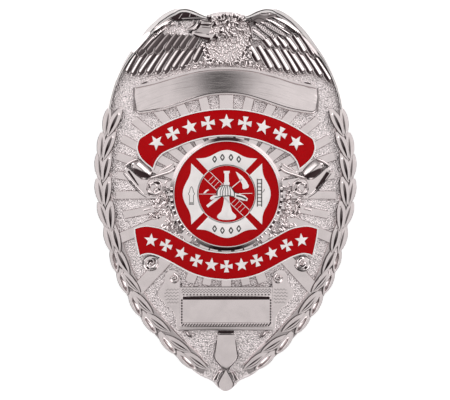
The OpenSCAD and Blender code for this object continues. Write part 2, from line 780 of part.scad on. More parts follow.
// Plate, joint block, catch and stem in one piece
module pin_clasp() color(silver) {
    plate_z = pad_z - fit_gap - pin_t;
    translate([-pin_b / 2, -pin_l / 2, plate_z]) cube([pin_b, pin_l, pin_t]);
    translate([-pin_b / 4, pin_l / 2 - 3, stem_z - stem_d / 2]) cube([pin_b / 2, 3, plate_z - stem_z + stem_d / 2 + 0.1]);
    translate([-pin_b / 4, -pin_l / 2, stem_z - stem_d / 2]) cube([pin_b / 2, 2, plate_z - stem_z + stem_d / 2 + 0.1]);
    translate([0, -pin_l / 2 + 1, stem_z]) rotate([-90, 0, 0]) cylinder(r = stem_d / 2, h = pin_l - 2);
}

body();
upper_enamel();
lower_enamel();
seal();
seal_enamel();
pin_clasp();
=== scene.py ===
# %% [markdown]
# # A firefighter's breast badge
# The real badge is one die casting in zinc, plated with bright nickel. Its face is a
# domed, stippled field with polished relief on it: rays, an eagle, laurel, panels and
# ribbons. A round seal with its own enamel is fixed on the middle. This lesson dresses
# the packed CAD part: the solids say how big everything is and where it sits, and the
# meshes made here carry the fine relief and the finishes.

# %% Load the CAD frame
import math
import random

import bpy
import numpy as np
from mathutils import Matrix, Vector, noise


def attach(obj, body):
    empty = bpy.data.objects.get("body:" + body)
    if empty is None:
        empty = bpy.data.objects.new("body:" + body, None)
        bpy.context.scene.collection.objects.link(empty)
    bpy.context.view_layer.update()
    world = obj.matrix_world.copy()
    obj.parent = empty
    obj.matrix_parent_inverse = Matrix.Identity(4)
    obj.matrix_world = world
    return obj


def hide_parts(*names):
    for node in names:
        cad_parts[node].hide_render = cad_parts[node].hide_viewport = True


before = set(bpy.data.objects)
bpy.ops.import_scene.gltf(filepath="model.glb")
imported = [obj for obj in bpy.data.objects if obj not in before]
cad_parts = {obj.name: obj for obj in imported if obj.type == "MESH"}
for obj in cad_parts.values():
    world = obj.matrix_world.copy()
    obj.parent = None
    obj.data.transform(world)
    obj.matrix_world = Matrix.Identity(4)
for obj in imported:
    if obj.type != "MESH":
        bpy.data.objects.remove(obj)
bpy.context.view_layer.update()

# %% [markdown]
# ## Sizes
# The badge is small, so everything is written in millimetres and turned into metres
# when a mesh gets its points. The field is a shallow dome. Each relief piece is drawn
# flat, with heights above the field, and then laid on that dome, as a die sinker works.

# %% Sizes and the dome
MM = 0.001
HALF_W, HALF_H = 26.0, 38.3
CROWN, DROP = 5.6, 4.0
SEAL_Y, SEAL_R, SEAT_Z = 1.1, 11.3, 4.75
MIDDLE = (0, SEAL_Y)  # of the seal
SINK = 0.3  # how far the foot of a relief piece goes down into the field


def dome(x, y):
    return CROWN - DROP * ((x / HALF_W) ** 2 + (y / HALF_H) ** 2)


def level(z):
    """Ground that is flat, for the pieces on the seal."""
    return lambda x, y: z + 0 * x


print("the field falls from", CROWN, "to", round(float(dome(HALF_W, 0)), 2), "mm at the side")

# %% [markdown]
# ## Curves through a few points
# An outline is given by a few points that were measured. A curve through them, and a
# way to space points evenly along it, is all the drawing that the relief needs.

# %% Smooth curves
def smooth(points, steps, closed=False):
    """A curve through the points, with that many steps between two of them."""
    p = np.array(points, float)
    n = len(p)
    out = []
    for i in range(n if closed else n - 1):
        a, b = p[i], p[(i + 1) % n]
        before = p[i - 1] if closed or i else a
        after = p[(i + 2) % n] if closed or i + 2 < n else b
        for k in range(steps):
            t = k / steps
            out.append(
                0.5 * (2 * a + (b - before) * t + (2 * before - 5 * a + 4 * b - after) * t**2
                       + (3 * a - before - 3 * b + after) * t**3)
            )
    if not closed:
        out.append(p[-1])
    return np.array(out)


def evenly(points, n):
    """n points at even distances along a line."""
    p = np.asarray(points, float)
    run = np.concatenate([[0], np.cumsum(np.linalg.norm(np.diff(p, axis=0), axis=1))])
    at = np.linspace(0, run[-1], n)
    return np.stack([np.interp(at, run, p[:, k]) for k in range(p.shape[1])], 1)


def inset_curve(curve, distance):
    """The right-hand outline moved inward, and its direction at each point."""
    curve = np.asarray(curve, float)
    run = np.gradient(curve, axis=0)
    run /= np.linalg.norm(run, axis=1)[:, None]
    inward = np.stack([run[:, 1], -run[:, 0]], 1)
    return curve + inward * np.reshape(distance, (-1, 1)), run


def mirrored(points):
    """The same points on the other side of the badge."""
    return np.asarray(points, float) * [-1, 1]


bowl = evenly(smooth([(-1, 1), (0, 0), (1, 1)], 6), 5)
print("five even places on a curve:", bowl.round(2).tolist())

# %% [markdown]
# Much of the badge lies on circles: the rays, the arc of the upper ribbon, the seal and
# the spirals of the scrolls. So one helper places points on a circle, another turns an
# outline, and a third spreads a few widths along a line.

# %% Circles, turns and widths
def along(values, n):
    """One value, or a few, spread evenly over n rows."""
    values = np.atleast_1d(np.asarray(values, float))
    return np.interp(np.linspace(0, 1, n), np.linspace(0, 1, len(values)), values)


def around(centre, radius, degrees):
    """Points at these angles round a centre; radius may be two numbers for an oval."""
    a = np.radians(degrees)
    return centre + radius * np.stack([np.cos(a), np.sin(a)], -1)


def turned(points, angle):
    """The points turned about the origin, by radians."""
    c, s = math.cos(angle), math.sin(angle)
    return np.asarray(points, float) @ np.array([[c, s], [-s, c]])


print("(1, 0) turned by a quarter:", turned([1, 0], math.pi / 2).round(3).tolist())

# %% [markdown]
# ## Reading and writing a mesh
# A primitive is added by its operator, and its points are then moved in bulk. The
# attribute called dark is painted shade: it mixes the base colour toward a dark grey where
# shade and dark reflections fall, in corners, grooves, under edges and on flanks.

# %% Points and the dark attribute
def deselect():
    bpy.ops.object.select_all(action="DESELECT")


def named(name):
    o = bpy.context.object
    o.name = o.data.name = name
    return o


def places(o):
    co = np.empty(len(o.data.vertices) * 3, np.float32)
    o.data.vertices.foreach_get("co", co)
    return co.reshape(-1, 3).astype(float) / MM


def set_places(o, p):
    o.data.vertices.foreach_set("co", (np.asarray(p) * MM).astype(np.float32).ravel())
    o.data.update()


def get_dark(o):
    values = np.empty(len(o.data.vertices), np.float32)
    o.data.attributes["dark"].data.foreach_get("value", values)
    return values


def set_dark(o, values):
    """Darkness from 0 to 1, one value for each point or one for all of them."""
    layer = o.data.attributes.get("dark") or o.data.attributes.new("dark", "FLOAT", "POINT")
    values = np.broadcast_to(np.ravel(values), len(o.data.vertices))
    layer.data.foreach_set("value", values.astype(np.float32))


def darken(o, values):
    """Makes the points at least that dark."""
    set_dark(o, np.maximum(get_dark(o), values))


print("CAD nodes to dress:", sorted(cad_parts))

# %% [markdown]
# Shaping happens in edit mode, with the same few steps again and again: select all of
# one object, extrude it, and turn its faces outwards when it is closed.

# %% Edit mode
def edit(o):
    """Into edit mode with nothing but o selected, and all of it."""
    deselect()
    o.select_set(True)
    bpy.context.view_layer.objects.active = o
    bpy.ops.object.mode_set(mode="EDIT")
    bpy.ops.mesh.select_all(action="SELECT")


def raise_by(height):
    """Extrudes what is selected straight up, or down if height is negative."""
    bpy.ops.mesh.extrude_region_move(TRANSFORM_OT_translate={"value": (0, 0, height * MM)})


def close_and_leave():
    """Turns all faces outwards and goes back to object mode."""
    bpy.ops.mesh.select_all(action="SELECT")
    bpy.ops.mesh.normals_make_consistent(inside=False)
    done()


def done():
    bpy.ops.object.mode_set(mode="OBJECT")


def cut_up(axis, spots):
    """Cuts the mesh across an axis at each spot, so that it can follow the dome."""
    for at in spots:
        middle, normal = np.zeros(3), np.zeros(3)
        middle[axis], normal[axis] = at * MM, 1
        bpy.ops.mesh.select_all(action="SELECT")
        bpy.ops.mesh.bisect(plane_co=middle, plane_no=normal)


def join(objects, name):
    deselect()
    for o in objects:
        o.select_set(True)
    bpy.context.view_layer.objects.active = objects[0]
    bpy.ops.object.join()
    return named(name)


def drop(*objects):
    for o in objects:
        bpy.data.objects.remove(o)


print("Blender", bpy.app.version_string, "is in", bpy.context.mode, "mode")

# %% [markdown]
# ## Two ways to raise relief
# A long form such as a ribbon, a feather or a leaf is a strip: a grid primitive whose
# rows follow a path and whose columns give the cross-section. A flat-topped form such
# as a star is a plate: a filled circle primitive moved onto the outline, extruded up
# and bevelled. Both keep their foot a little way down in the field.

# %% Strips
FOOT = -1.0  # in a section, a point that stands on the foot


def strip(name, path, width, section, height=1.0, lift=0.0, ground=dome):
    """section lists (place across from -1 to 1, share of the height, darkness)."""
    path = np.asarray(path, float)
    n = len(path)
    across, up, dark = (np.array(c, float) for c in zip(*section))
    run = np.gradient(path, axis=0)
    run /= np.linalg.norm(run, axis=1)[:, None]
    side = np.stack([run[:, 1], -run[:, 0]], 1)
    width, height, lift = (np.broadcast_to(v, n)[:, None] for v in (width, height, lift))
    xy = path[:, None] + side[:, None] * (width * across)[..., None]
    base = ground(xy[..., 0], xy[..., 1])
    z = np.where(up < 0, base - SINK, base + lift + height * up)
    z = np.concatenate([base[:1] - SINK, z, base[-1:] - SINK])
    shade = np.tile(dark, (n + 2, 1))
    # Painted shade: the closed ends are fully dark.
    shade[0] = shade[-1] = 1
    deselect()
    bpy.ops.mesh.primitive_grid_add(x_subdivisions=len(across) - 1, y_subdivisions=n + 1, size=1)
    o = named(name)
    set_places(o, np.dstack([xy[[0, *range(n), n - 1]], z]).reshape(-1, 3))
    set_dark(o, shade)
    edit(o)
    bpy.ops.mesh.select_mode(type="EDGE")
    bpy.ops.mesh.select_all(action="DESELECT")
    bpy.ops.mesh.select_non_manifold()
    bpy.ops.mesh.edge_face_add()  # a face under the open bottom
    done()
    return o


def flipped(section):
    """The same section, seen from the other side."""
    return [(-across, up, dark) for across, up, dark in section[::-1]]


def footed(*rows, dark=1):
    """A section with a foot at both edges."""
    return [(-1, FOOT, dark), *rows, (1, FOOT, dark)]


print("a square ridge:", footed((-1, 1, 0), (1, 1, 0)))

# %% [markdown]
# A plate starts as a circle primitive, whose points are moved onto the outline. Before it
# is laid on the dome it is cut up, because a face with no points inside stays flat.

# %% Plates
UNCUT = 50.0  # a pitch that is wider than any piece, for one that isn't cut up


def blank(name, outline, z=-SINK):
    """A flat filled outline at height z, left in edit mode."""
    deselect()
    bpy.ops.mesh.primitive_circle_add(vertices=len(outline), radius=1, fill_type="NGON")
    o = named(name)
    set_places(o, np.column_stack([outline, np.full(len(outline), z)]))
    edit(o)
    return o


def plate(name, outline, height, bevel=0.1, lift=0.0, ground=dome, pitch=3.0, dark=0.9):
    """A flat-topped shape over an outline that runs counter-clockwise."""
    outline = np.asarray(outline, float)
    o = blank(name, outline)
    raise_by(height + SINK)
    if bevel:
        bpy.ops.mesh.bevel(offset=bevel * MM, segments=2, clamp_overlap=True)
    low, high = outline.min(0), outline.max(0)
    for axis in (0, 1):
        cut_up(axis, np.arange(math.ceil(low[axis] / pitch) * pitch, high[axis], pitch))
    close_and_leave()
    p = places(o)
    # Painted shade: the bevel and the sides grow darker toward the foot.
    set_dark(o, dark * np.clip((height - p[:, 2]) / max(bevel, 0.05) - 0.35, 0, 1))
    foot = p[:, 2] < 0
    p[:, 2] = ground(p[:, 0], p[:, 1]) + np.where(foot, -SINK, p[:, 2] + lift)
    set_places(o, p)
    return o


def painted_shade_patch(outline, height, depth=1.0):
    """A thin flat patch of painted shade, equally dark all over."""
    o = plate("patch", outline, height, 0.02, pitch=UNCUT)
    set_dark(o, depth)
    return o


print("relief stands", SINK, "mm deep in the field")

# %% [markdown]
# ## Stamping copies
# Leaves and feathers repeat. Each is modelled once, flat and one unit long, and every
# copy is bent, scaled and laid on the dome by moving the points of its own mesh.

# %% Stamps
def master(name, widths, section, rows, heights=((0, 1), (1, 1))):
    """A strip one unit long; widths and heights list (place, value) pairs."""
    t = np.linspace(0, 1, rows)
    widths, heights = (np.interp(t, *zip(*pairs)) for pairs in (widths, heights))
    return strip(name, np.column_stack([t, 0 * t]), widths, section, heights, ground=level(0))


def stamp(source, a, b, half, height, lift=(0, 0), bend=0.0, ground=dome, flip=False, sink=SINK):
    """A copy of a master that runs from a to b and bows sideways by bend."""
    o = source.copy()
    o.data = source.data.copy()
    bpy.context.collection.objects.link(o)
    p = places(o)
    a, b = np.asarray(a, float), np.asarray(b, float)
    t, u, h = p[:, 0], -p[:, 1] * (-1 if flip else 1), p[:, 2]
    d = b - a
    right = np.array([d[1], -d[0]]) / np.linalg.norm(d)
    centre = a + t[:, None] * d + (4 * bend * t * (1 - t))[:, None] * right
    slope = d + (4 * bend * (1 - 2 * t))[:, None] * right
    slope /= np.linalg.norm(slope, axis=1)[:, None]
    side = np.stack([slope[:, 1], -slope[:, 0]], 1)
    xy = centre + side * (half * u)[:, None]
    base = ground(xy[:, 0], xy[:, 1])
    top = base + lift[0] + (lift[1] - lift[0]) * t + height * h
    set_places(o, np.column_stack([xy, np.where(h < 0, base - sink, top)]))
    if flip:
        edit(o)
        bpy.ops.mesh.flip_normals()
        done()
    return o


print("a master lies flat, from 0 to 1 along x")

# %% [markdown]
# The engraver's lines are cuts on the real badge, dark with the shade in them, and other
# dark lines are dark reflections. Here each is a hair-thin strip of painted shade that lies
# on the surface and is dark all over, which looks the same at this size and leaves the
# surface whole. All of them go into one list, and become one piece at the end.

# %% Lines of painted shade
shade_marks = []


def cut_section(dark):
    return footed((-0.8, 1, dark), (0.8, 1, dark), dark=dark)


def cut(points, half, lift=0.0, dark=0.95, ground=dome, n=None):
    """A hair-thin strip of painted shade; half may be one half width or a few along the line."""
    points = np.asarray(points, float)
    curve = smooth(points, 6) if len(points) > 2 else points
    path = evenly(curve, n or max(5, 3 * len(points)))
    return strip("cut", path, along(half, len(path)), cut_section(dark), 0.03, lift, ground)


def add_shade_lines(*lines, side=1, n=None):
    """Adds lines, each (points, half width, lift, darkness), mirrored if side is -1."""
    for points, *how in lines:
        shade_marks.append(cut(np.array(points) * [side, 1], *how, n=n))


print("engraved lines so far:", len(shade_marks))

# %% [markdown]
# ## Writing materials as sums
# A finish is a small sum: so much grain here, so much darkness there. Wire wraps a
# socket so that such sums can be written as Python expressions, and Finish holds the
# material and adds any other node.

# %% Shader maths
class Wire:
    """A socket that adds Math nodes when it is used in an expression."""

    def __init__(self, sheet, socket):
        self.sheet, self.socket = sheet, socket

    def math(self, operation, *values):
        sockets = dict(enumerate(values))
        return self.sheet.node("ShaderNodeMath", {"operation": operation}, sockets)

    def __add__(self, other):
        return self.math("ADD", self, other)

    def __sub__(self, other):
        return self.math("SUBTRACT", self, other)

    def __rsub__(self, other):
        return self.math("SUBTRACT", other, self)

    def __mul__(self, other):
        return self.math("MULTIPLY", self, other)

    def __truediv__(self, other):
        return self.math("DIVIDE", self, other)

    def __pow__(self, other):
        return self.math("POWER", self, other)

    __radd__, __rmul__ = __add__, __mul__

    def between(self, low, high):
        """0 at low, 1 at high, and a soft step between."""
        sockets = {"Value": self, "From Min": low, "From Max": high}
        return self.sheet.node("ShaderNodeMapRange", {"interpolation_type": "SMOOTHSTEP"}, sockets)


print("Wire:", Wire.__doc__)

# %% Node trees
class Finish:
    """A node tree that is filled by one method."""

    def __init__(self, tree):
        self.tree = tree

    def fill(self, node, sockets):
        for key, value in sockets.items():
            if isinstance(value, Wire):
                self.tree.links.new(value.socket, node.inputs[key])
            else:
                node.inputs[key].default_value = value

    def node(self, kind, settings=None, sockets=None, output=0):
        made = self.tree.nodes.new(kind)
        for key, value in (settings or {}).items():
            setattr(made, key, value)
        self.fill(made, sockets or {})
        return Wire(self, made.outputs[output])

    def mix(self, factor, a, b):
        """Two colours mixed by a factor."""
        return self.node("ShaderNodeMix", {"data_type": "RGBA"}, {0: factor, 6: a, 7: b}, 2)

    def place(self, scale=(1, 1, 1)):
        """Object coordinates, stretched."""
        here = self.node("ShaderNodeTexCoord", output=3)
        return self.node("ShaderNodeMapping", None, {"Vector": here, "Scale": scale})

    def noise(self, size, detail=2.0, stretch=(1, 1, 1)):
        """Noise whose lumps are about size millimetres across."""
        sockets = {"Vector": self.place(stretch), "Scale": 1 / (size * MM), "Detail": detail}
        return self.node("ShaderNodeTexNoise", None, sockets)

    def bump(self, height, depth):
        """A bump whose full height is that many millimetres."""
        return self.node("ShaderNodeBump", None, {"Height": height, "Distance": depth * MM})

    def split(self, vector):
        """The three numbers of a vector."""
        first = self.node("ShaderNodeSeparateXYZ", None, {0: vector})
        return [Wire(self, socket) for socket in first.socket.node.outputs]


def new_finish(name):
    material = bpy.data.materials.new(name)
    material.use_nodes = True
    return material, Finish(material.node_tree), material.node_tree.nodes["Principled BSDF"]


print("a finish is a node tree that", Finish.__name__, "fills")

# %% [markdown]
# ## Nickel
# Bright nickel is a warm grey mirror. All the finishes share one recipe: the painted
# shade of the dark attribute, a little tarnish in soft clouds, and a grain as a bump. Each
# of them only says how rough, how bright and how metallic it is.

# %% Nickel finishes
BRIGHT = (0.85, 0.775, 0.775, 1)
# The colour of painted shade, toward which the dark attribute mixes each finish.
PAINTED_SHADE = (0.042, 0.027, 0.029, 1)


def nickel(name, roughness, colour=BRIGHT, grain=None, depth=0.004, metallic=1.0):
    """Nickel plate; grain adds a pattern's height and its dark pits."""
    material, f, shader = new_finish(name)
    dark = f.node("ShaderNodeAttribute", {"attribute_name": "dark"}, output=2)
    cloud = f.noise(3.0, 3)
    dull = tuple(c * 0.93 for c in colour[:3]) + (1,)
    plated = f.mix(cloud.between(0.35, 0.7), colour, dull)
    if grain:
        height, pits = grain(f)
        dark = dark.math("MAXIMUM", dark, pits)
    else:
        height = f.noise(0.25, 3)
    # Base Color goes toward the painted shade colour where dark rises.
    f.fill(shader, {
        "Base Color": f.mix(dark, plated, PAINTED_SHADE), "Metallic": metallic,
        "Roughness": roughness + 0.06 * cloud + 0.25 * dark, "Normal": f.bump(height, depth),
    })
    return material


print("bright nickel:", BRIGHT[:3], "and in the deep corners:", PAINTED_SHADE[:3])

# %% [markdown]
# The field was punched with round-nosed tools before plating, and the name panel was
# brushed after it. Both grains are noise on Object coordinates, so they stay put on the
# metal. The brushed lines bend with the panel, by the same square law.

# %% Grain of the field and the panel
ARCH = 0.0119  # how fast the name panel falls away to both sides


def stipple_grain(f):
    """Round punch marks of uneven size, with a finer grit over them."""
    cells = f.node("ShaderNodeTexVoronoi", {"feature": "F1"}, {
        "Vector": f.place(), "Scale": 1 / (0.3 * MM), "Randomness": 1.0})
    grit = f.noise(0.18, 2)
    # The second value is painted shade: it darkens the low ground between the punch marks.
    return (1 - cells) * 0.8 + grit * 0.8, cells.between(0.42, 0.8) * grit.between(0.35, 0.65) * 0.8


def brushed_grain(f):
    """Fine lines along the panel, bent as the panel is."""
    x, y, _ = f.split(f.node("ShaderNodeTexCoord", output=3))
    bent = y + ARCH / MM * x * x

    def lines(size, stretch):
        at = f.node("ShaderNodeCombineXYZ", None, {0: x * stretch, 1: bent})
        sockets = {"Vector": at, "Scale": 1 / (size * MM), "Detail": 3.0}
        return f.node("ShaderNodeTexNoise", None, sockets)

    fine, broad = lines(0.2, 0.035), lines(0.5, 0.05)
    return fine * 0.7 + broad * 0.6, fine.between(0.5, 0.72) * broad.between(0.35, 0.65) * 0.3


POLISHED = nickel("polished_nickel", 0.10)
STIPPLED = nickel("stippled_nickel", 0.2, (0.95, 0.875, 0.88, 1), grain=stipple_grain, depth=0.2)
BRUSHED = nickel("brushed_nickel", 0.1, grain=brushed_grain, depth=0.022)
SATIN = nickel("satin_nickel", 0.4, (0.95, 0.91, 0.905, 1), metallic=0.5)
PLAIN = nickel("plain_nickel_plate", 0.3, (0.7, 0.68, 0.67, 1))
print("nickel finishes:", [m.name for m in (POLISHED, STIPPLED, BRUSHED, SATIN, PLAIN)])

# %% [markdown]
# ## Enamel and black fill
# Enamel is coloured glass: saturated underneath, glossy on top, with faint waves where
# it was stoned flat. The small engraved marks on the seal hold black paint.

# %% Enamel finishes
CRIMSON, DARKER_CRIMSON = (0.41, 0.0012, 0.0035, 1), (0.385, 0.001, 0.003, 1)
SOOT, WORN_SOOT = (0.02, 0.018, 0.018, 1), (0.06, 0.055, 0.055, 1)
ENAMEL, f, shader = new_finish("crimson_enamel")
cloud = f.noise(2.5, 2)
f.fill(shader, {
    "Base Color": f.mix(cloud.between(0.3, 0.75), CRIMSON, DARKER_CRIMSON),
    "Roughness": 0.14 + 0.08 * cloud, "Specular IOR Level": 0.07,
    "Normal": f.bump(f.noise(1.2, 2), 0.006),
})
BLACK, f, shader = new_finish("black_fill")
f.fill(shader, {
    "Base Color": f.mix(f.noise(0.2, 2), SOOT, WORN_SOOT),
    "Roughness": 0.3 + 0.2 * f.noise(0.4, 2), "Normal": f.bump(f.noise(0.1, 2), 0.01),
})
print("fills:", ENAMEL.name, BLACK.name)

# %% [markdown]
# Every finished piece goes through the same last steps: it gets its finish, its sharp
# edges stay sharp and the rest is shaded smooth, and it rides on the badge.

# %% Finishing a piece
def finish_piece(o, material=POLISHED, angle=25):
    """Edges sharper than the angle stay sharp."""
    o.data.materials.clear()
    o.data.materials.append(material)
    deselect()
    o.select_set(True)
    bpy.context.view_layer.objects.active = o
    bpy.ops.object.shade_smooth_by_angle(angle=math.radians(angle))
    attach(o, "root")
    print(o.name, len(o.data.polygons), "faces")


# %% [markdown]
# ## The shell
# The casting is a thin domed shell with a flat rim and a hollow back. It is one grid:
# its columns run round the outline, and its rows go from the middle of the face out to
# the edge, over it, and back under to the hollow. The face's rows are close together,
# because small random dents are pressed into them for the stipple.

# %% Outline of the shell
OUTLINE = [
    (0, 0.980), (0.085, 0.974), (0.131, 0.964), (0.177, 0.972), (0.24, 0.991), (0.31, 1),
    (0.398, 0.993), (0.48, 0.965), (0.546, 0.928), (0.6, 0.892), (0.664, 0.836),
    (0.745, 0.757), (0.81, 0.683), (0.858, 0.61), (0.893, 0.527), (0.915, 0.44), (0.94, 0.37),
    (0.965, 0.3), (0.985, 0.2), (0.985, 0.065), (0.969, -0.04), (0.932, -0.157),
    (0.888, -0.27), (0.834, -0.392), (0.752, -0.5), (0.68, -0.585), (0.575, -0.675),
    (0.446, -0.77), (0.352, -0.83), (0.3, -0.857), (0.256, -0.888), (0.198, -0.918),
    (0.135, -0.937), (0.1, -0.95), (0.076, -0.968), (0.052, -0.984), (0.025, -0.997), (0, -1),
]
half = smooth(np.array(OUTLINE) * [HALF_W, HALF_H], 8)  # the right half, from the top down
ROUND = 760
rim = evenly(np.vstack([half, mirrored(half)[-2:0:-1], half[:1]]), ROUND + 1)
print("outline in mm:", np.round(rim.min(0), 2), np.round(rim.max(0), 2))

# %% Rows of the shell
FACE_ROWS, FACE_START = 98, 0.24  # the seal hides what is nearer to the middle
HOLLOW, REST = 3.8, 0.925  # the hollow's depth, and the share where the flat rim ends
LUMP, FINE_LUMP, LUMP_DEPTH = 3.6, 7, 0.022  # lumps per millimetre, and their depth
# Painted shade where the shell turns away: over its edge, down its side and on its back.
EDGE_PAINTED_SHADE = {"face": 0, "turn": 0.2, "edge": 0.45, "side": 0.5, "rest": 0.3, "under": 0.3}
rows = [(s, "face") for s in np.linspace(FACE_START, 0.985, FACE_ROWS)]
rows += [(0.994, "turn"), (1.0, "edge"), (1.0, "side"), (0.996, "rest"), (REST, "rest")]
rows += [(s, "under") for s in np.linspace(0.915, 0.06, 16)]


def lumps(x, y):
    coarse = noise.noise(Vector((x * LUMP, y * LUMP, 0)))
    return coarse + 0.6 * noise.noise(Vector((x * FINE_LUMP, y * FINE_LUMP, 4)))


def shell_row(share, part):
    ring = rim * share
    top = dome(*ring.T)
    if part == "face":
        z = top + LUMP_DEPTH * np.array([lumps(x, y) for x, y in ring]) - 0.01
    else:
        under = 0 * top + HOLLOW * (1 - (share / REST) ** 2)
        z = {"turn": top - 0.06, "edge": top - 0.3, "side": 0 * top + 0.12,
             "rest": 0 * top, "under": under}[part]
    return np.column_stack([ring, z])


grid = np.array([shell_row(*row) for row in rows])
grid[:, -1] = grid[:, 0]
print("rows over the face:", FACE_ROWS, "and in all:", len(rows))

# %% Shell
deselect()
bpy.ops.mesh.primitive_grid_add(x_subdivisions=ROUND, y_subdivisions=len(rows) - 1, size=1)
shell = named("shell")
set_places(shell, grid.reshape(-1, 3))
set_dark(shell, np.repeat([EDGE_PAINTED_SHADE[part] for _, part in rows], ROUND + 1))
# Painted shade: the field grows a little darker from 14 to 18 mm up.
darken(shell, np.interp(grid[..., 1].ravel(), [14, 18], [0, 0.14]))
edit(shell)
bpy.ops.mesh.remove_doubles(threshold=1e-7)
bpy.ops.mesh.select_all(action="DESELECT")
bpy.ops.mesh.select_non_manifold()
bpy.ops.mesh.edge_face_add()
close_and_leave()
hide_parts("body")
finish_piece(shell, STIPPLED, 60)
shell.data.materials.append(PLAIN)
for face in shell.data.polygons:
    face.material_index = int(face.normal.z < 0.2)

# %% [markdown]
# ## Rays
# Flat polished rays run out from the seal. Each one is a strip with a narrow sloping
# side, painted dark as shade, which shows as the thin dark line along a ray.

# %% Rays
RAYS = [  # angle, length from the seal's middle, width
    (90, 22.0, 3.0), (76.3, 20.0, 2.0), (62.7, 21.4, 2.0), (50.6, 24.2, 2.0), (38.9, 23.6, 1.85),
    (28.2, 23.5, 1.8), (19.3, 23.0, 1.8), (10, 22.0, 1.65), (-0.6, 21.9, 1.75), (-11.6, 20.8, 1.65),
    (-22.6, 22.9, 2.3), (-47.3, 26.0, 2.7), (-67.3, 19.0, 2.2), (-77.6, 18.5, 1.9),
    (-90, 18.5, 2.2),
]
RAY_START, RAY_H = 10.5, 0.35


def flat_section(half, slope=0.1, dark=0.6):
    """A flat top with a narrow slope down each side, painted dark as shade."""
    inner = 1 - slope / half
    left = [(-1, 0.05, dark), (-inner, 0.85, 0.5 * dark), (-inner + 0.04, 1, 0)]
    return footed(*left, (0, 1, 0), *flipped(left))


def ray(angle, length, width):
    ends = [around(MIDDLE, radius, angle) for radius in (RAY_START, length)]
    path = np.linspace(*ends, 9)
    return strip("ray", path, width / 2, flat_section(width / 2), RAY_H)


rays = [ray(*row) for row in RAYS]
rays += [ray(180 - row[0], *row[1:]) for row in RAYS if abs(row[0]) != 90]
finish_piece(join(rays, "rays"))

# %% [markdown]
# ## Laurel
# Laurel leaves run down both sides in pairs, their tips toward the finial. They are
# ground flat on top. The inner leaf of a pair has a deep slit for its midrib, and the
# outer one a hollow whose wall catches the light. A slit or hollow is only there over
# part of the leaf, so the section's points are raised again near both ends.

# %% Leaf masters
LEAF_ROWS = 22
LEAF_WIDTH = [
    (0, 0.45), (0.12, 0.74), (0.3, 0.97), (0.45, 1), (0.62, 0.92), (0.78, 0.7), (0.9, 0.4),
    (1, 0.04),
]
# The dark at the leaf's edges and in its slit or hollow is painted shade.
BLADE_EDGE = [(-1, FOOT, 1), (-1, 0.15, 0.95), (-0.89, 0.78, 0.8), (-0.81, 0.98, 0.06)]
GROOVES = {  # section of the groove, and where along the leaf it starts and ends
    "slit": ([(-0.29, 1, 0.1), (-0.22, 0.75, 0.9), (-0.14, 0.2, 1), (0.1, 0.2, 1),
              (0.19, 0.75, 0.85), (0.29, 1.02, 0)], 0.16, 0.97),
    "fine": ([(-0.24, 1, 0.1), (-0.18, 0.6, 1), (0.0, 0.6, 1), (0.06, 1, 0.1), (0.36, 1, 0),
              (0.4, 0.7, 0.95), (0.48, 0.7, 0.95), (0.52, 1, 0.1)], 0.2, 0.97),
    "dish": ([(-0.52, 1, 0.2), (-0.46, 1.02, 0), (0.2, 0.3, 0), (0.27, 0.28, 0.6),
              (0.37, 0.9, 0.5), (0.45, 1, 0.1)], 0.2, 0.9),
    "shadow": ([(-0.3, 1, 0.1), (-0.22, 0.7, 0.85), (-0.16, 0.4, 0.9), (0.04, 0.45, 0.7),
                (0.1, 0.9, 0.1), (0.4, 1.05, 0)], 0.15, 0.95),
}


def laurel_leaf(name, groove, start, end):
    """A leaf whose groove is open between two places along it."""
    section = BLADE_EDGE + groove + flipped(BLADE_EDGE)
    heights = [(0, 0.75), (0.3, 1), (0.9, 1), (1, 0.7)]
    o = master(name, LEAF_WIDTH, section, LEAF_ROWS, heights)
    t = np.clip((np.arange(LEAF_ROWS + 2) - 1) / (LEAF_ROWS - 1), 0, 1)
    opening = np.clip(np.minimum(t - start, end - t) / 0.12, 0, 1)[:, None]
    p = places(o).reshape(len(t), len(section), 3)
    shade = get_dark(o).reshape(len(t), len(section))
    middle = slice(len(BLADE_EDGE), -len(BLADE_EDGE))
    top = p[:, 3:4, 2]
    p[:, middle, 2] = top + (p[:, middle, 2] - top) * opening
    inside = np.clip((t - start) / (end - start), 0, 1)
    p[:, middle, 1] *= 0.4 + 0.6 * np.sin(math.pi * inside)[:, None]
    # Painted shade in the groove, paler near its start and full toward the tip.
    shade[:, middle] *= opening * np.interp(t, [start, 0.6], [0.55, 1])[:, None]
    set_places(o, p.reshape(-1, 3))
    set_dark(o, shade)
    return o


leaf = {name: laurel_leaf(name, *row) for name, row in GROOVES.items()}
print("leaves to stamp:", *leaf)

# %% Leaves
PAIR_Y = [15.4, 10.7, 6.3, 1.6, -3.2, -7.8, -12.2, -16.4, -20.8, -24.8, -28.9, -32.1]
LEAF_BOW, TIP_RISE = 0.12, 0.4
GARLANDS = [  # leaf, inset, turn low and high, half width, length, height, lift, from y, to y, foot
    ("slit", 1.85, (12, -11), 1.04, 6.0, 0.4, 0.25, -14, 40, SINK),
    ("fine", 1.85, (12, -11), 1.04, 6.0, 0.4, 0.25, -40, -14, SINK),
    ("dish", 0.55, (-7, 8), 0.95, 5.6, 0.6, 0.0, -40, -10, 1.2),
    ("shadow", 0.5, (-7, 6), 0.92, 5.6, 0.5, 0.05, -10, 40, 1.2),
]


def nearest(line, y):
    """The place on the right-hand line that is level with y."""
    return np.argmin(np.abs(line[:, 1] - y) + 20 * (line[:, 0] < 3))


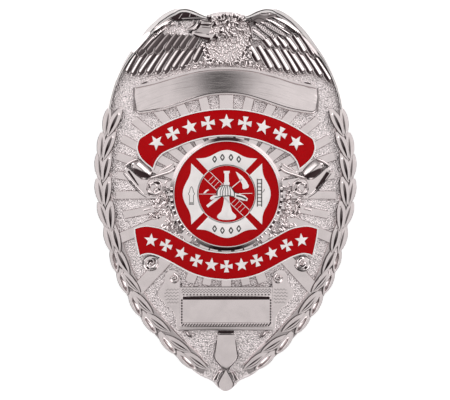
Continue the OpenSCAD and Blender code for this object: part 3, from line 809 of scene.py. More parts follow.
def garland(name, inset, leans, half_width, length, height, lift, low, high, sink):
    """A leaf at each pair's place, on both sides of the badge."""
    line, run = inset_curve(half, inset)
    made = []
    for y in PAIR_Y:
        if not low < y < high:
            continue
        i = nearest(line, y)
        turn = -math.radians(np.interp(y, [-10, -6], leans))
        reach = turned(run[i], turn) * length * 0.5
        for side in (-1, 1):
            a, b = (line[i] - reach) * [side, 1], (line[i] + reach) * [side, 1]
            made.append(stamp(leaf[name], a, b, half_width, height, (lift, lift + TIP_RISE),
                              -side * LEAF_BOW, flip=side > 0, sink=sink))
    return made


laurel = sum((garland(*row) for row in GARLANDS), [])
drop(*leaf.values())
print("leaves:", len(laurel))

# %% [markdown]
# A small round berry lies between two pairs of leaves, as on most laurel wreaths. It is
# too small for a round mesh: a short strip with closed ends catches the same light.

# %% Berries
# The berry's foot is painted dark as shade.
BEAD_SECTION = footed((-1, 0, 0.6), (-0.8, 0.6, 0), (-0.3, 0.95, 0), (0.3, 0.95, 0), (0.8, 0.6, 0),
                      (1, 0, 0.6))
BEAD_HALF, BEAD_H, BEAD_LIFT = 0.26, 0.35, 0.45
ends = np.sqrt(np.clip(1 - np.linspace(-1, 1, 9) ** 2, 0.03, 1))
line, run = inset_curve(half, 1.15)
for y in PAIR_Y[:7]:
    i = nearest(line, y - 2.6)
    for side in (1, -1):
        a, b = (line[i] - 0.4 * run[i]) * [side, 1], (line[i] + 0.4 * run[i]) * [side, 1]
        laurel.append(strip("bead", np.linspace(a, b, 9), BEAD_HALF * ends, BEAD_SECTION,
                            BEAD_H * ends, BEAD_LIFT))
print("berries:", 2 * len(PAIR_Y[:7]))

# %% [markdown]
# The leaves were not cut free of each other. Between them one sees the ground that they
# stand on, in shade, so a low strip painted dark as that shade runs under all the leaves of
# a side.

# %% Bed of the laurel
BED_SECTION = [
    (-1, FOOT, 0.8), (-1, 0.1, 0.8), (-0.9, 1, 0.6), (0.76, 1, 0.35), (0.86, 1, 0.1),
    (1, 0.02, 0.12), (1, FOOT, 0),
]
BED_TOP, BED_END = 17.5, -34
line, _ = inset_curve(half, 1.6)
line = evenly(line[(line[:, 1] < BED_TOP) & (line[:, 1] > BED_END) & (line[:, 0] > 3)], 70)
widths = np.interp(line[:, 1], [BED_END, -31, -12, -6, BED_TOP], [1.1, 1.75, 1.7, 1.1, 0.9])
for path, section in ((line, BED_SECTION), (mirrored(line), flipped(BED_SECTION))):
    bed = strip("bed", path, widths, section, 0.3)
    # Painted shade: the bed is darker above y = -7 mm than below y = -14 mm.
    darken(bed, np.interp(places(bed)[:, 1], [-14, -7], [0, 0.25]))
    laurel.append(bed)
finish_piece(join(laurel, "laurel"), angle=30)

# %% [markdown]
# ## Wings
# Each feather is a rounded rib with a thin raised line round it. One flank is bright
# and barbed with strokes of painted shade, the other is deep and painted dark as shade. The
# upper row of the left wing is painted dark nearly all over, as shade. The two wings were
# cut by hand and differ, so each has its own table: where a feather's tip is, and where its
# root is.

# %% Feather masters
FEATHER_ROWS = 30
FEATHER_WIDTH = [(0, 0.95), (0.5, 1), (0.84, 1), (0.92, 0.86), (0.97, 0.55), (1, 0.2)]
PALE_EDGE = [(-1, FOOT, 1), (-1, 0.3, 0.5), (-0.97, 0.5, 0), (-0.82, 0.52, 0)]
FAR_EDGE = [(0.74, 0.4, 0.75), (0.8, 0.4, 0.5)]
BRIGHT_RIB = [
    (-0.8, 0.4, 0.95), (-0.45, 0.72, 0.95), (-0.1, 0.96, 0.95), (0.0, 1, 0.88), (0.05, 1, 0.03),
    (0.32, 0.9, 0), (0.4, 0.86, 0.62), (0.66, 0.7, 0.6),
]
DARK_RIB = [
    (-0.78, 0.4, 0.95), (-0.4, 0.75, 0.92), (0.0, 0.96, 0.9), (0.26, 1, 0.9), (0.34, 0.92, 0.72),
    (0.5, 0.85, 0.72), (0.6, 0.75, 0.72), (0.7, 0.6, 0.7),
]
WIDE_RIB = [
    (-0.8, 0.4, 1), (-0.5, 0.72, 1), (-0.24, 0.94, 1), (-0.16, 0.98, 0.95), (-0.1, 1, 0.05),
    (0.44, 0.58, 0), (0.5, 0.55, 0.6), (0.66, 0.5, 0.65),
]


def feather_master(name, rib):
    """A feather whose barbs are strokes of painted shade across the outer flank."""
    section = PALE_EDGE + rib + FAR_EDGE + flipped(PALE_EDGE)
    o = master(name, FEATHER_WIDTH, section, FEATHER_ROWS)
    shade = get_dark(o).reshape(FEATHER_ROWS + 2, -1)
    # Painted shade: less of it in a pale line round the tip, more at the end of the rib and in the
    # barbs.
    shade[30:31, 1:-1] = 0.08  # a pale line round the tip
    shade[27:29, 5:12] = 0.92  # the dark end of the rib
    barb_rows = slice(2, 27, 2)
    shade[barb_rows, 10:12] = np.maximum(shade[barb_rows, 10:12], 0.55)
    set_dark(o, shade)
    return o


feather = feather_master("feather", BRIGHT_RIB)
dark_feather = feather_master("dark_feather", DARK_RIB)
wide_feather = feather_master("wide_feather", WIDE_RIB)
print("points in a feather:", len(feather.data.vertices))

# %% Two rows of feathers
LEFT_LOW = [  # tip x, tip y, root x, root y
    (-19.9, 25.2, -17.9, 28.8), (-18.8, 24.7, -16.2, 29.1), (-17.4, 24.8, -14.2, 29.4),
    (-15.8, 24.9, -12.6, 29.7), (-14.0, 25.0, -10.8, 30.0), (-12.4, 25.1, -9.3, 30.0),
    (-10.7, 25.8, -7.6, 30.3), (-9.1, 25.9, -6.1, 30.3), (-6.5, 27.3, -4.3, 31.3),
]
LEFT_MIDDLE = [
    (-17.6, 28.7, -13.9, 33.0), (-15.8, 29.1, -12.5, 33.0), (-14.1, 29.2, -11.2, 32.9),
    (-12.1, 29.6, -9.8, 32.9), (-10.4, 30.1, -8.5, 32.8), (-9.1, 30.0, -7.2, 32.7),
    (-7.4, 30.1, -5.9, 32.4),
]
RIGHT_LOW = [
    (21.2, 23.4, 18.1, 28.4), (19.2, 24.4, 16.1, 29.2), (17.2, 25.1, 14.4, 29.5),
    (15.7, 25.1, 12.6, 29.9), (14.4, 24.9, 11.4, 30.0), (12.6, 25.2, 9.6, 30.3),
    (10.9, 25.6, 8.0, 30.3), (9.2, 25.7, 6.5, 30.6), (6.6, 27.4, 4.8, 30.5),
]
RIGHT_MIDDLE = [
    (17.9, 28.6, 15.0, 33.0), (15.9, 29.2, 13.6, 32.9), (14.2, 29.5, 11.9, 32.6),
    (12.1, 30.2, 10.4, 32.6), (10.6, 30.4, 8.8, 32.8), (9.0, 30.3, 7.0, 32.8),
]
FEATHER_H, FEATHER_BOW, ROOT_DROP = 0.62, 0.06, 0.12
wing = []
for table, source, half_width, lift in (
    (LEFT_LOW, feather, 0.84, 0.15), (RIGHT_LOW, wide_feather, 0.84, 0.15),
    (LEFT_MIDDLE, dark_feather, 0.84, 0.6), (RIGHT_MIDDLE, wide_feather, 0.8, 0.6),
):
    right = table[0][0] > 0
    bow = -FEATHER_BOW if right else FEATHER_BOW
    wing += [stamp(source, row[2:], row[:2], half_width, FEATHER_H, (lift - ROOT_DROP, lift), bow,
                   flip=right) for row in table]
drop(feather, dark_feather, wide_feather)
print("feathers:", len(wing))

# %% [markdown]
# Above the two rows lie the coverts: broad plain feathers with a bright upper face and
# a deep shadow under each. They are single strips, and each has its own path.

# %% Coverts
COVERT_SECTION = footed(
    (-1, 0.1, 0.95), (-0.7, 0.45, 0.9), (-0.6, 0.9, 0.3), (-0.52, 1, 0), (0.1, 0.82, 0),
    (0.72, 0.5, 0), (0.8, 0.45, 0.7), (0.88, 0.5, 0.2), (1, 0.4, 0.4),
)
COVERTS = [  # path, half width, height, lift, least darkness
    ([(-10.9, 35.8), (-12.75, 34.8), (-14.4, 33.6)], 0.3, 0.5, 0.9, 0),
    ([(-10.8, 36.25), (-12.5, 35.35), (-14.3, 34.15)], 0.26, 0.3, 0.85, 0.34),
    ([(-11.6, 34.6), (-13.2, 33.5), (-14.6, 32.1)], 0.38, 0.5, 0.8, 0),
    ([(-13.6, 33.3), (-15.4, 31.5), (-16.9, 29.8)], 0.3, 0.4, 0.8, 0.3),
    ([(9.6, 36.45), (12.1, 35.3), (15.1, 33.0)], 0.44, 0.6, 0.85, 0),
    ([(8.0, 36.1), (9.9, 35.1), (13.2, 32.9)], 0.42, 0.55, 0.95, 0),
    ([(7.0, 35.5), (9.5, 34.1), (12.2, 32.5)], 0.55, 0.3, 1.0, 0.38),
    ([(6.0, 35.1), (7.7, 33.7), (9.8, 32.3)], 0.5, 0.3, 0.95, 0.38),
    ([(5.2, 34.1), (6.4, 33.2), (8.0, 31.9)], 0.4, 0.3, 0.8, 0.38),
    ([(15.0, 33.0), (17.0, 30.6), (18.6, 28.6)], 0.42, 0.5, 0.7, 0.42),
]


def covert(points, half, height, lift, tone):
    """The dark side is the lower one, on both wings."""
    path = evenly(smooth(points, 6), 26)
    t = np.linspace(0, 1, 26)
    taper = np.minimum(1, np.sqrt(np.clip(1.02 - t, 0, 1) * 4)) * np.minimum(1, 0.4 + 2 * t)
    section = flipped(COVERT_SECTION) if points[0][0] > 0 else COVERT_SECTION
    o = strip("covert", path, half * taper, section, height, lift)
    # Painted shade: tone makes the whole covert at least that dark.
    darken(o, tone)
    return o


wing += [covert(*row) for row in COVERTS]
print("feathers and coverts:", len(wing))

# %% Shafts and barbs of the coverts
SHAFTS = [
    [(7.6, 35.2), (9.4, 33.9), (11.9, 32.6)], [(6.2, 34.9), (7.5, 33.7), (8.9, 32.6)],
    [(5.4, 33.3), (6.3, 32.8), (7.4, 31.9)],
]
BARBS = [  # from, to, length and lean of a stroke, number, half width, lift, darkness
    ((12.0, 34.8), (14.9, 32.9), (0.2, 0.5), 9, 0.1, 1.62, 1.0),
    ((7.5, 35.4), (12.3, 32.7), (0.22, 0.56), 14, 0.08, 1.37, 0.85),
    ((6.4, 34.8), (9.9, 32.4), (0.22, 0.5), 10, 0.08, 1.32, 0.85),
    ((-12.6, 34.5), (-14.6, 32.6), (-0.2, 0.5), 7, 0.08, 1.4, 0.9),
]
for points in SHAFTS:
    path = evenly(smooth(points, 6), 16)
    wing.append(strip("line", path, 0.13, flat_section(0.13, 0.04, 0.9), 0.2, 1.2))
    wing.append(cut(np.array(points) + [-0.13, -0.2], 0.07, 1.3, 0.9))
for a, b, stroke, count, *how in BARBS:
    a, b, stroke = (np.array(v, float) for v in (a, b, stroke))
    for k in range(count):
        middle = a + (b - a) * (k + 0.5) / count
        wing.append(cut([middle - stroke / 2, middle + stroke / 2], *how, n=4))
wing.append(cut([(8.8, 35.6), (10.6, 34.6), (13.2, 33.3)], 0.07, 1.5, 0.8))
finish_piece(join(wing, "wing_feathers"), angle=50)

# %% [markdown]
# A wing is framed by a smooth sloping edge and a narrow band inside it. Both follow the
# badge's outline at a distance that changes along the wing, so they are strips as well.

# %% Wing edges
SLOPE_SECTION = [
    (-1, FOOT, 0.6), (-1, 0.25, 0.5), (-0.78, 0.42, 0.4), (-0.7, 0.5, 0.04), (0.85, 0.9, 0.04),
    (1, 0.92, 0.1), (1, FOOT, 1),
]
BAND_SECTION = footed(
    (-1, 0.6, 1), (-0.46, 0.6, 1), (-0.36, 0.95, 0.5), (-0.26, 1, 0.12), (0.7, 1, 0.12),
    (0.8, 0.85, 0.8), (1, 0.2, 0.95),
)
edge = evenly(half[(half[:, 1] > 17.5) & (half[:, 0] > 3.6)], 110)
t = np.linspace(0, 1, 110)
slope_width = np.interp(t, [0, 0.08, 0.14, 0.18, 0.22, 0.3, 0.34, 0.4, 0.46, 0.54, 0.66, 1],
                        [0.5, 0.4, 0.28, 0.32, 0.7, 0.78, 0.7, 0.85, 0.85, 0.6, 0.36, 0.26])
band_half = np.interp(t, [0, 0.08, 0.2, 0.4, 0.5, 0.66, 1], [0.2, 0.36, 0.33, 0.3, 0.3, 0.17, 0.13])
heights = np.interp(t, [0, 0.12, 0.5, 1], [1.3, 1.3, 1.0, 0.55])
rims = []
for inset, widths, section in (
    (slope_width / 2, slope_width / 2, SLOPE_SECTION),
    (slope_width + band_half, band_half, BAND_SECTION),
):
    path, _ = inset_curve(edge, inset)
    rims.append(strip("edge", path, widths, section, heights))
    rims.append(strip("edge", mirrored(path), widths, flipped(section), heights))
o = join(rims, "wing_edges")
x, y, z = places(o).T
# Painted shade along each wing's edge, strongest between 10.5 and 19.5 mm out, and more on the
# right.
darken(o, np.interp(np.abs(x), [8.5, 10.5, 19.5, 22], [0, 1, 1, 0]) * np.where(x > 0, 0.5, 0.36))
finish_piece(o, SATIN, 50)

# %% Bright patch on the left wing
PATCH_SECTION = [
    (-1, FOOT, 1), (-0.9, 1, 0.4), (-0.85, 1, 0), (0.9, 0.2, 0), (1, 0.1, 0.4), (1, FOOT, 0.6),
]
path = evenly(smooth([(-15.2, 33.4), (-16.7, 31.9), (-17.8, 30.6), (-18.6, 29.4)], 6), 20)
widths = 0.62 * np.sqrt(np.sin(np.linspace(0.15, math.pi - 0.15, 20)))
finish_piece(strip("bright_patch", path, widths, PATCH_SECTION, 0.75, 0.6), angle=50)

# %% [markdown]
# Under the humps the casting is hollowed out. The shade in each hollow is a thin patch
# painted dark: nearly black on the left, with three thin bars across it, and grey on the
# right.

# %% Hollows under the humps
HOLLOWS = [  # outline, darkness
    ([(-10.9, 36.3), (-10.2, 35.8), (-9.3, 35.7), (-8.6, 36.25), (-7.0, 36.45), (-5.2, 36.45),
      (-4.6, 36.4), (-5.5, 36.95), (-6.6, 37.3), (-7.8, 37.4), (-9.2, 37.2), (-10.2, 36.7)], 1.0),
    ([(5.0, 36.1), (6.4, 35.2), (7.6, 35.6), (8.3, 36.2), (10.2, 36.6), (9.2, 37.2), (7.6, 37.5),
      (6.2, 37.1)], 0.7),
]
BARS = [[(-9.4, 36.1), (-8.7, 37.1)], [(-7.3, 36.4), (-7.0, 37.4)], [(-5.9, 36.5), (-5.6, 37.2)]]
LENS = [(6.6, 37.1), (7.7, 37.35), (8.9, 37.05), (7.7, 36.75)]


def oval(points):
    return smooth(points, 4, closed=True)[::-1]


hollows = [painted_shade_patch(outline, 1.25, depth) for outline, depth in HOLLOWS]
hollows += [strip("bar", evenly(bar, 5), 0.09, flat_section(0.09, 0.03, 0.2), 0.12, 1.2)
            for bar in BARS]
hollows.append(plate("lens", oval(LENS), 1.32, 0.04, pitch=UNCUT, dark=0.2))
hollows.append(cut([(7.0, 37.1), (8.6, 37.1)], 0.14, 1.34))
rail = evenly([(-8.8, 36.12), (-6.6, 36.2), (-4.4, 36.22)], 12)
hollows.append(strip("rail", rail, 0.1, flat_section(0.1, 0.03, 0.3), 0.2, 1.2))
hollows.append(cut([(8.4, 36.6), (9.6, 36.9), (10.2, 36.8)], 0.16, 1.27, 0.85))
hollows.append(cut([(5.4, 35.6), (6.4, 36.2), (7.6, 35.9)], 0.12, 1.27, 0.9))
# Painted shade: each pit is a thin dark patch.
for x in (-16.0, 16.15):  # a pit above each end of the name panel
    pit = oval([(x - 0.9, 23.05), (x, 23.4), (x + 0.9, 23.05), (x, 22.72)])
    hollows.append(painted_shade_patch(pit, 0.2))
finish_piece(join(hollows, "hollows"))

# %% [markdown]
# ## Name panel
# A blank curved plate for an engraved name. It is brushed along its length, and a
# polished lip runs along its lower edge. Its corners are a little rounded. The plate
# leans back, so it mirrors another part of the studio than the rays below it do.

# %% Name panel
PANEL_TOP = [
    (-18.05, 22.35), (-14.0, 23.25), (-9.4, 24.65), (-4.7, 25.7), (0, 26.0), (4.7, 25.7),
    (9.4, 24.65), (14.0, 23.25), (18.15, 22.3),
]
PANEL_BASE = [
    (-18.05, 16.95), (-13.3, 17.65), (-8.0, 19.35), (-4.0, 20.5), (0, 20.85), (4.0, 20.5),
    (8.0, 19.35), (13.3, 17.65), (18.15, 16.95),
]
# The dark at the panel's upper edge is painted shade.
PANEL_SECTION = [
    (-1, FOOT, 1), (-1, 0.05, 0.9), (-0.985, 0.22, 0.85), (-0.96, 0.3, 0.3), (-0.93, 0.31, 0),
    (-0.7, 0.43, 0), (-0.4, 0.66, 0), (0, 1.02, 0), (0.4, 1.38, 0), (0.79, 1.7, 0), (0.8, FOOT, 1),
]
top, base = evenly(smooth(PANEL_TOP, 8), 97), evenly(smooth(PANEL_BASE, 8), 97)
path = (top + base) / 2
corner = np.clip((np.abs(path[:, 0]) - 17.3) / 0.92, 0, 0.98)
widths = (top[:, 1] - base[:, 1]) / 2 - 0.75 * (1 - np.sqrt(1 - corner**2))
finish_piece(strip("name_panel", path, widths, PANEL_SECTION, 0.5), BRUSHED)

# %% [markdown]
# The polished lip stands along the panel's lower edge, with a thin glint under its left
# half, and a narrow bright line runs above the upper edge. They are one piece of their
# own, because the panel itself is brushed and these are not.

# %% Lip of the name panel
# The lip's inner wall is painted dark as shade.
LIP_SECTION = [
    (0.79, FOOT, 1), (0.79, 1.6, 0.95), (0.84, 1.64, 0.9), (0.85, 1.78, 0.15), (0.9, 1.8, 0),
    (0.95, 1.7, 0), (0.98, 1.5, 0.05), (1, 1.2, 0.1), (1, FOOT, 1),
]
GLINT_SECTION = footed((-1, 0, 0), (0, 1, 0), (1, 0.9, 0.5), dark=0.5)
GLINT = [(-14.9, 17.55), (-12.6, 18.25), (-10.4, 19.0), (-8.3, 19.75), (-6.2, 20.45)]
lip = strip("lip", path, widths, LIP_SECTION, 0.5)
glint = strip("glint", evenly(smooth(GLINT, 6), 30), 0.1, GLINT_SECTION, 0.14, 0.85)
above = strip("above", top + [0, 0.16], 0.22, footed((-1, 1, 0), (1, 1, 0), dark=0), 0.1, 0.5)
finish_piece(join([lip, glint, above], "name_panel_lip"))
# Lines of painted shade along the panel's two end walls.
add_shade_lines(*(([(x, 22.2), (x, 17.6)], 0.17, 0.3, 0.65) for x in (-18.35, 18.4)))

# %% [markdown]
# ## Ribbons
# Each ribbon is a cell of metal filled with red enamel. The ornaments are metal that
# stands up through the enamel. The metal is a plate whose top face is inset and pushed
# down, and the enamel is a copy of that inset face, set just below the rim.

# %% Ribbon outlines
UPPER_END = [  # the right end, from the outer edge round the tip to the inner edge
    (17.35, 12.2), (17.75, 11.2), (17.87, 10.2), (17.6, 9.1), (17.05, 8.1), (16.25, 7.25),
    (15.35, 6.5), (14.5, 5.85),
]
UPPER_INNER = [(14.25, 6.7), (13.95, 7.5), (13.4, 8.3), (12.6, 9.1), (11.2, 9.8)]
LOWER_TOP = [
    (0, -10.5), (3.6, -10.1), (6.7, -8.95), (9.05, -7.7), (11.2, -6.5), (13.0, -5.65),
    (14.6, -5.3), (15.9, -5.15), (17.1, -5.3), (18.4, -5.7),
]
LOWER_SIDE = [(18.35, -6.6), (18.1, -8.2), (17.75, -9.8), (17.35, -11.5)]
LOWER_BASE = [
    (16.7, -11.1), (15.6, -10.9), (14.5, -11.05), (13.0, -11.6), (11.2, -12.5), (9.05, -13.7),
    (6.7, -14.85), (3.6, -15.75), (0, -16.1),
]


UPPER_CENTRE, UPPER_R, UPPER_HALF = (0, -10.1), 25.45, 2.75  # the ribbon's arc


def arc(radius, degrees):
    """Points of an arc round the upper ribbon's centre, angles from the top."""
    return around(UPPER_CENTRE, radius, 90 - np.asarray(degrees))


def whole(right):
    """A counter-clockwise outline from its right half, given from the top down."""
    return np.vstack([right, mirrored(right)[-2:0:-1]])[::-1]


outer = smooth(np.vstack([arc(UPPER_R + UPPER_HALF, np.linspace(0, 35, 12)), UPPER_END]), 3)
inner = smooth(np.vstack([UPPER_INNER, arc(UPPER_R - UPPER_HALF, np.linspace(26, 0, 8))]), 3)
upper_outline = whole(np.vstack([outer, inner]))
lower_outline = whole(np.vstack([smooth(LOWER_TOP, 3), LOWER_SIDE, smooth(LOWER_BASE, 3)]))
print("points in the ribbons' outlines:", len(upper_outline), len(lower_outline))

# %% Ribbon cells
RIBBON_H, RIBBON_RIM, CELL = 1.2, 0.24, 0.3
BELOW_RIM = 0.05  # how far the enamel stays below the rim
ENAMEL_EDGE = 0.12  # where it curves down to the metal


def ribbon(name, outline):
    """The metal cell, and the enamel that fills it."""
    metal = blank(name, outline)
    raise_by(RIBBON_H + SINK)
    bpy.ops.mesh.inset(thickness=RIBBON_RIM * MM)
    raise_by(-CELL)
    bpy.ops.mesh.duplicate()
    bpy.ops.mesh.separate(type="SELECTED")
    done()
    fill = next(o for o in bpy.context.selected_objects if o is not metal)
    fill.name = fill.data.name = name + "_enamel"
    edit(fill)
    raise_by(CELL - BELOW_RIM)
    bpy.ops.mesh.bevel(offset=ENAMEL_EDGE * MM, segments=2)
    done()
    for o in (metal, fill):
        edit(o)
        cut_up(0, np.arange(-18, 18.1, 1.5))
        close_and_leave()
        p = places(o)
        if o is metal:
            # Painted shade on the cell's walls and floor, below the top of the rim.
            set_dark(o, np.where(p[:, 2] < RIBBON_H - 0.1, 0.8, 0))
        p[:, 2] += dome(p[:, 0], p[:, 1])
        set_places(o, p)
    return metal, fill


print("depth of the ribbons' cells:", CELL, "mm")

# %% [markdown]
# Stars and crosses stand in the enamel at an even rhythm. Each is a plate, turned with
# the ribbon, and ends a hair above the rim, so that no enamel lies over it.

# %% Ornaments of the ribbons
STAR_POINT, STAR_NOTCH, CROSS_SHARE, PROUD = 0.52, 0.22, 0.86, 0.04


def star(size):
    """Ten corners, in turn far from the middle and near to it."""
    reach = size * np.where(np.arange(10) % 2, STAR_NOTCH, STAR_POINT)
    return around((0, 0), reach[:, None], 90 + 36 * np.arange(10))


def cross(size):
    arm = size * np.array([(0.22, 0.5), (-0.22, 0.5), (-0.09, 0.09)])
    return np.vstack([turned(arm, k * math.pi / 2) for k in range(4)])


def ornaments(spots, size):
    """Stars and crosses in turn, each turned with the ribbon."""
    shapes = [star(size), cross(size * CROSS_SHARE)]
    made = [plate("mark", turned(shapes[i % 2], angle) + [x, y], RIBBON_H + PROUD, 0.06)
            for i, (x, y, angle) in enumerate(spots)]
    return join(made, "marks")


upper_spots = [(*arc(UPPER_R + 0.1, a), -math.radians(a)) for a in np.linspace(-33, 33, 9)]
lower_spots = []
for x in np.linspace(-15, 15, 11):
    top, base = (np.interp(abs(x), *zip(*rows)) for rows in (LOWER_TOP, LOWER_BASE[::-1]))
    after, before = (np.interp(abs(x) + step, *zip(*LOWER_TOP)) for step in (0.3, -0.3))
    lean = math.atan2(after - before, 0.6) * np.sign(x) * 0.8
    lower_spots.append((x, (top + base) / 2, lean))

for name, outline, spots, size in (
    ("upper", upper_outline, upper_spots, 3.1), ("lower", lower_outline, lower_spots, 2.8),
):
    metal, fill = ribbon(name + "_ribbon", outline)
    finish_piece(join([metal, ornaments(spots, size)], name + "_ribbon"), SATIN)
    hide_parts(name + "_enamel")
    finish_piece(fill, ENAMEL, 60)

# %% [markdown]
# ## Seal
# The seal is a separate disc: a reeded collar, a plain rim, red enamel, a cross with
# flared arms, and a ring round crossed tools. The disc starts as a circle primitive;
# its steps are insets and extrusions, as turning on a lathe would cut them.

# %% Seal disc
SEAL_FLOOR, SEAL_TOP = SEAT_Z + 1.9, SEAT_Z + 2.4
COLLAR_H, COLLAR_TOP = 1.55, SEAT_Z + 2.15
SEAL_STEPS = [(0.12, 0.06), (0.5, 0.5), (0.05, 0.3), (0.05, 0.04), (0.15, 0.0), (0.04, -0.55)]
SHADOW = [  # angle, depth: black above and below, and at both lower sides
    (-180, 0.45), (-168, 0.55), (-150, 0.6), (-128, 0.6), (-112, 0.6), (-104, 1), (-90, 1),
    (-76, 1), (-68, 0.6), (-52, 0.6), (-30, 0.6), (-12, 0.5), (0, 0.45), (60, 0.44), (72, 0.7),
    (78, 1), (102, 1), (108, 0.7), (120, 0.44), (168, 0.45), (180, 0.45),
]


def seal_ring(radius):
    return around(MIDDLE, radius, 90 + 2.25 * np.arange(160))


def shadow_round(x, y):
    """How deep the collar lies in shadow."""
    return np.interp(np.degrees(np.arctan2(y - SEAL_Y, x)), *zip(*SHADOW))


disc = blank("seal_disc", seal_ring(SEAL_R), SEAT_Z)
raise_by(COLLAR_H)
for inset, rise in SEAL_STEPS:
    bpy.ops.mesh.inset(thickness=inset * MM)
    bpy.ops.transform.translate(value=(0, 0, rise * MM))
close_and_leave()
x, y, z = places(disc).T
set_dark(disc, np.where(z < COLLAR_TOP, shadow_round(x, y), 0))
print("seal, points:", len(x))

# %% [markdown]
# The collar is reeded like the edge of a coin. Only the reeds at both lower sides catch
# light. The others lie in shadow, so they are left to the dark attribute of the disc.

# %% Reeds round the seal
REED_SECTION = [
    (-1, FOOT, 1), (-0.8, 0.5, 0.8), (-0.4, 0.9, 0.3), (0, 1, 0.05), (0.4, 0.9, 0.05),
    (0.8, 0.5, 0.7), (1, FOOT, 1),
]
REED_GAPS = [0.5, 31.5, 33.5, 34.5, 35.5, 37.5, 38.5, 57.5, 58.5, 60.5, 61.5, 62.5]
REEDS, REED_STEP = 64, 360 / 64
REED_OUT, REED_IN = 11.27, 10.72
collar = level(SEAT_Z + 1.6)
reed = master("reed", [(0, 0.8), (0.3, 1), (0.8, 1), (1, 0.7)], REED_SECTION, 5)
reeds = []
for a in REED_STEP * np.arange(REEDS):
    shade = shadow_round(*around(MIDDLE, SEAL_R, a))
    across, up = around((0, 0), 1, a)
    if shade <= 0.97 and up < 0.1 and abs(across) > 0.5:
        reeds.append(stamp(reed, around(MIDDLE, REED_OUT, a), around(MIDDLE, REED_IN, a),
                           0.5 - 0.27 * shade, 0.2, (0, 0.45), ground=collar))
drop(reed)
# Painted shade: dark lines in the gaps beside some of the reeds.
for k in REED_GAPS:
    ends = [around(MIDDLE, radius, REED_STEP * k) for radius in (11.2, 10.62)]
    reeds.append(cut(ends, [0.36, 0.3], np.linspace(0.1, 0.62, 5), 1, collar, 5))
finish_piece(join([disc, *reeds], "seal_disc"))
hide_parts("seal")

# %% [markdown]
# Enamel was filled in up to the cross and stoned flat. One bevelled disc is enough,
# because the cross, the ring and the tools stand in it.

# %% Seal enamel
RED_R, RED_H = 10.42, 0.4
red = blank("seal_red", seal_ring(RED_R), SEAL_FLOOR)
raise_by(RED_H)
bpy.ops.mesh.bevel(offset=0.05 * MM, segments=2)
done()
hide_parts("seal_enamel")
finish_piece(red, ENAMEL, 60)

# %% [markdown]
# The four arms are equal, so one outline is drawn and turned. Their inner ends are cut
# round and meet the narrow hoop, inside which the enamel shows round the tools.

# %% Cross and ring
ARM = [(7.1, 5.0), (7.2, 4.2), (7.55, 3.2), (8.15, 2.1), (8.6, 1.0), (8.75, 0)]
ARM_TIP, ARM_GAP, HUB_R, HOOP_R = np.array([7.05, 6.1]), 39, 5.62, 5.78
enamel_floor = level(SEAL_FLOOR)


def on_seal(points, turn=0.0):
    return turned(points, turn) + MIDDLE


bow = smooth(ARM + [(x, -y) for x, y in ARM[-2::-1]], 3)
hub = around((0, 0), HUB_R, np.linspace(-ARM_GAP, ARM_GAP, 15))
arm = np.vstack([ARM_TIP, bow, ARM_TIP * [1, -1], hub])[::-1]
arms = [plate("arm", on_seal(arm, k * math.pi / 2), SEAL_TOP - SEAL_FLOOR, 0.07,
              ground=enamel_floor, pitch=UNCUT) for k in range(4)]
hoop = strip("hoop", around(MIDDLE, HOOP_R, np.linspace(0, 360, 97)), 0.13,
             flat_section(0.13, 0.05, 0.3), 0.5, ground=enamel_floor)
finish_piece(join([*arms, hoop], "seal_cross"), SATIN)

# %% [markdown]
# Inside the hoop a ladder, an axe, a hook and a horn cross behind a helmet. At this size
# each is a flat plate or a bar, and the order in which they overlap is their height.

# %% Outlines of the tools
HORN = [
    (-0.62, 4.6), (0.62, 4.6), (0.6, 4.2), (0.42, 4.0), (0.45, 2.4), (0.6, 2.3), (0.6, 1.9),
    (0.48, 1.7), (0.55, -1.2), (0.75, -2.4), (1.1, -3.5), (1.8, -4.2), (1.95, -4.6), (1.6, -5.0),
    (0.8, -5.15), (0, -5.2),
]
HORN += [(-x, y) for x, y in HORN[-2:1:-1]]
AXE = [
    (1.75, 4.45), (2.15, 4.3), (3.1, 3.55), (3.9, 2.6), (4.45, 1.6), (4.3, 1.2), (3.4, 0.9),
    (3.15, 1.1), (3.1, 1.9), (2.75, 2.5), (2.3, 3.3),
]
HOOK = [
    (-4.7, 0.1), (-4.2, 0.12), (-3.9, 0.5), (-3.5, 0.75), (-3.6, 0.95), (-4.1, 0.8), (-4.45, 0.45),
]
HELMET = [
    (-2.1, -0.3), (-2.0, 0.7), (-1.6, 1.3), (-0.9, 1.75), (0.1, 1.8), (0.8, 1.5), (1.3, 0.9),
    (1.6, 0.3), (2.5, 0.05), (3.6, -0.35), (4.2, -0.9), (4.1, -1.4), (3.3, -1.35), (2.2, -1.0),
    (1.2, -0.55), (0.2, -0.4), (-0.8, -0.5), (-2.0, -0.75), (-3.0, -1.2), (-3.35, -1.0),
    (-3.2, -0.6), (-2.6, -0.25),
]
TOOL_H, HELMET_H = 0.45, 0.6
print("corners of the helmet:", len(HELMET))

# %% Crossed tools
HANDLES = [  # from, to, half width
    ((-3.9, -2.5), (-0.6, 0.2), 0.36), ((0.6, 0.9), (3.0, 2.9), 0.16),
    ((-5.5, -0.02), (-1.5, -0.02), 0.11), ((1.6, 0.05), (5.1, 0.12), 0.13),
]
LADDER, LADDER_HALF = math.radians(-44), 0.85
bars = [((-5.4, s), (5.4, s), 0.13) for s in (-LADDER_HALF, LADDER_HALF)]
bars += [((t, -LADDER_HALF), (t, LADDER_HALF), 0.1)
         for t in (-4.4, -3.6, -2.8, -2.0, 2.0, 2.8, 3.6, 4.4)]
bars = [(*turned([a, b], LADDER), half_width) for a, b, half_width in bars] + HANDLES
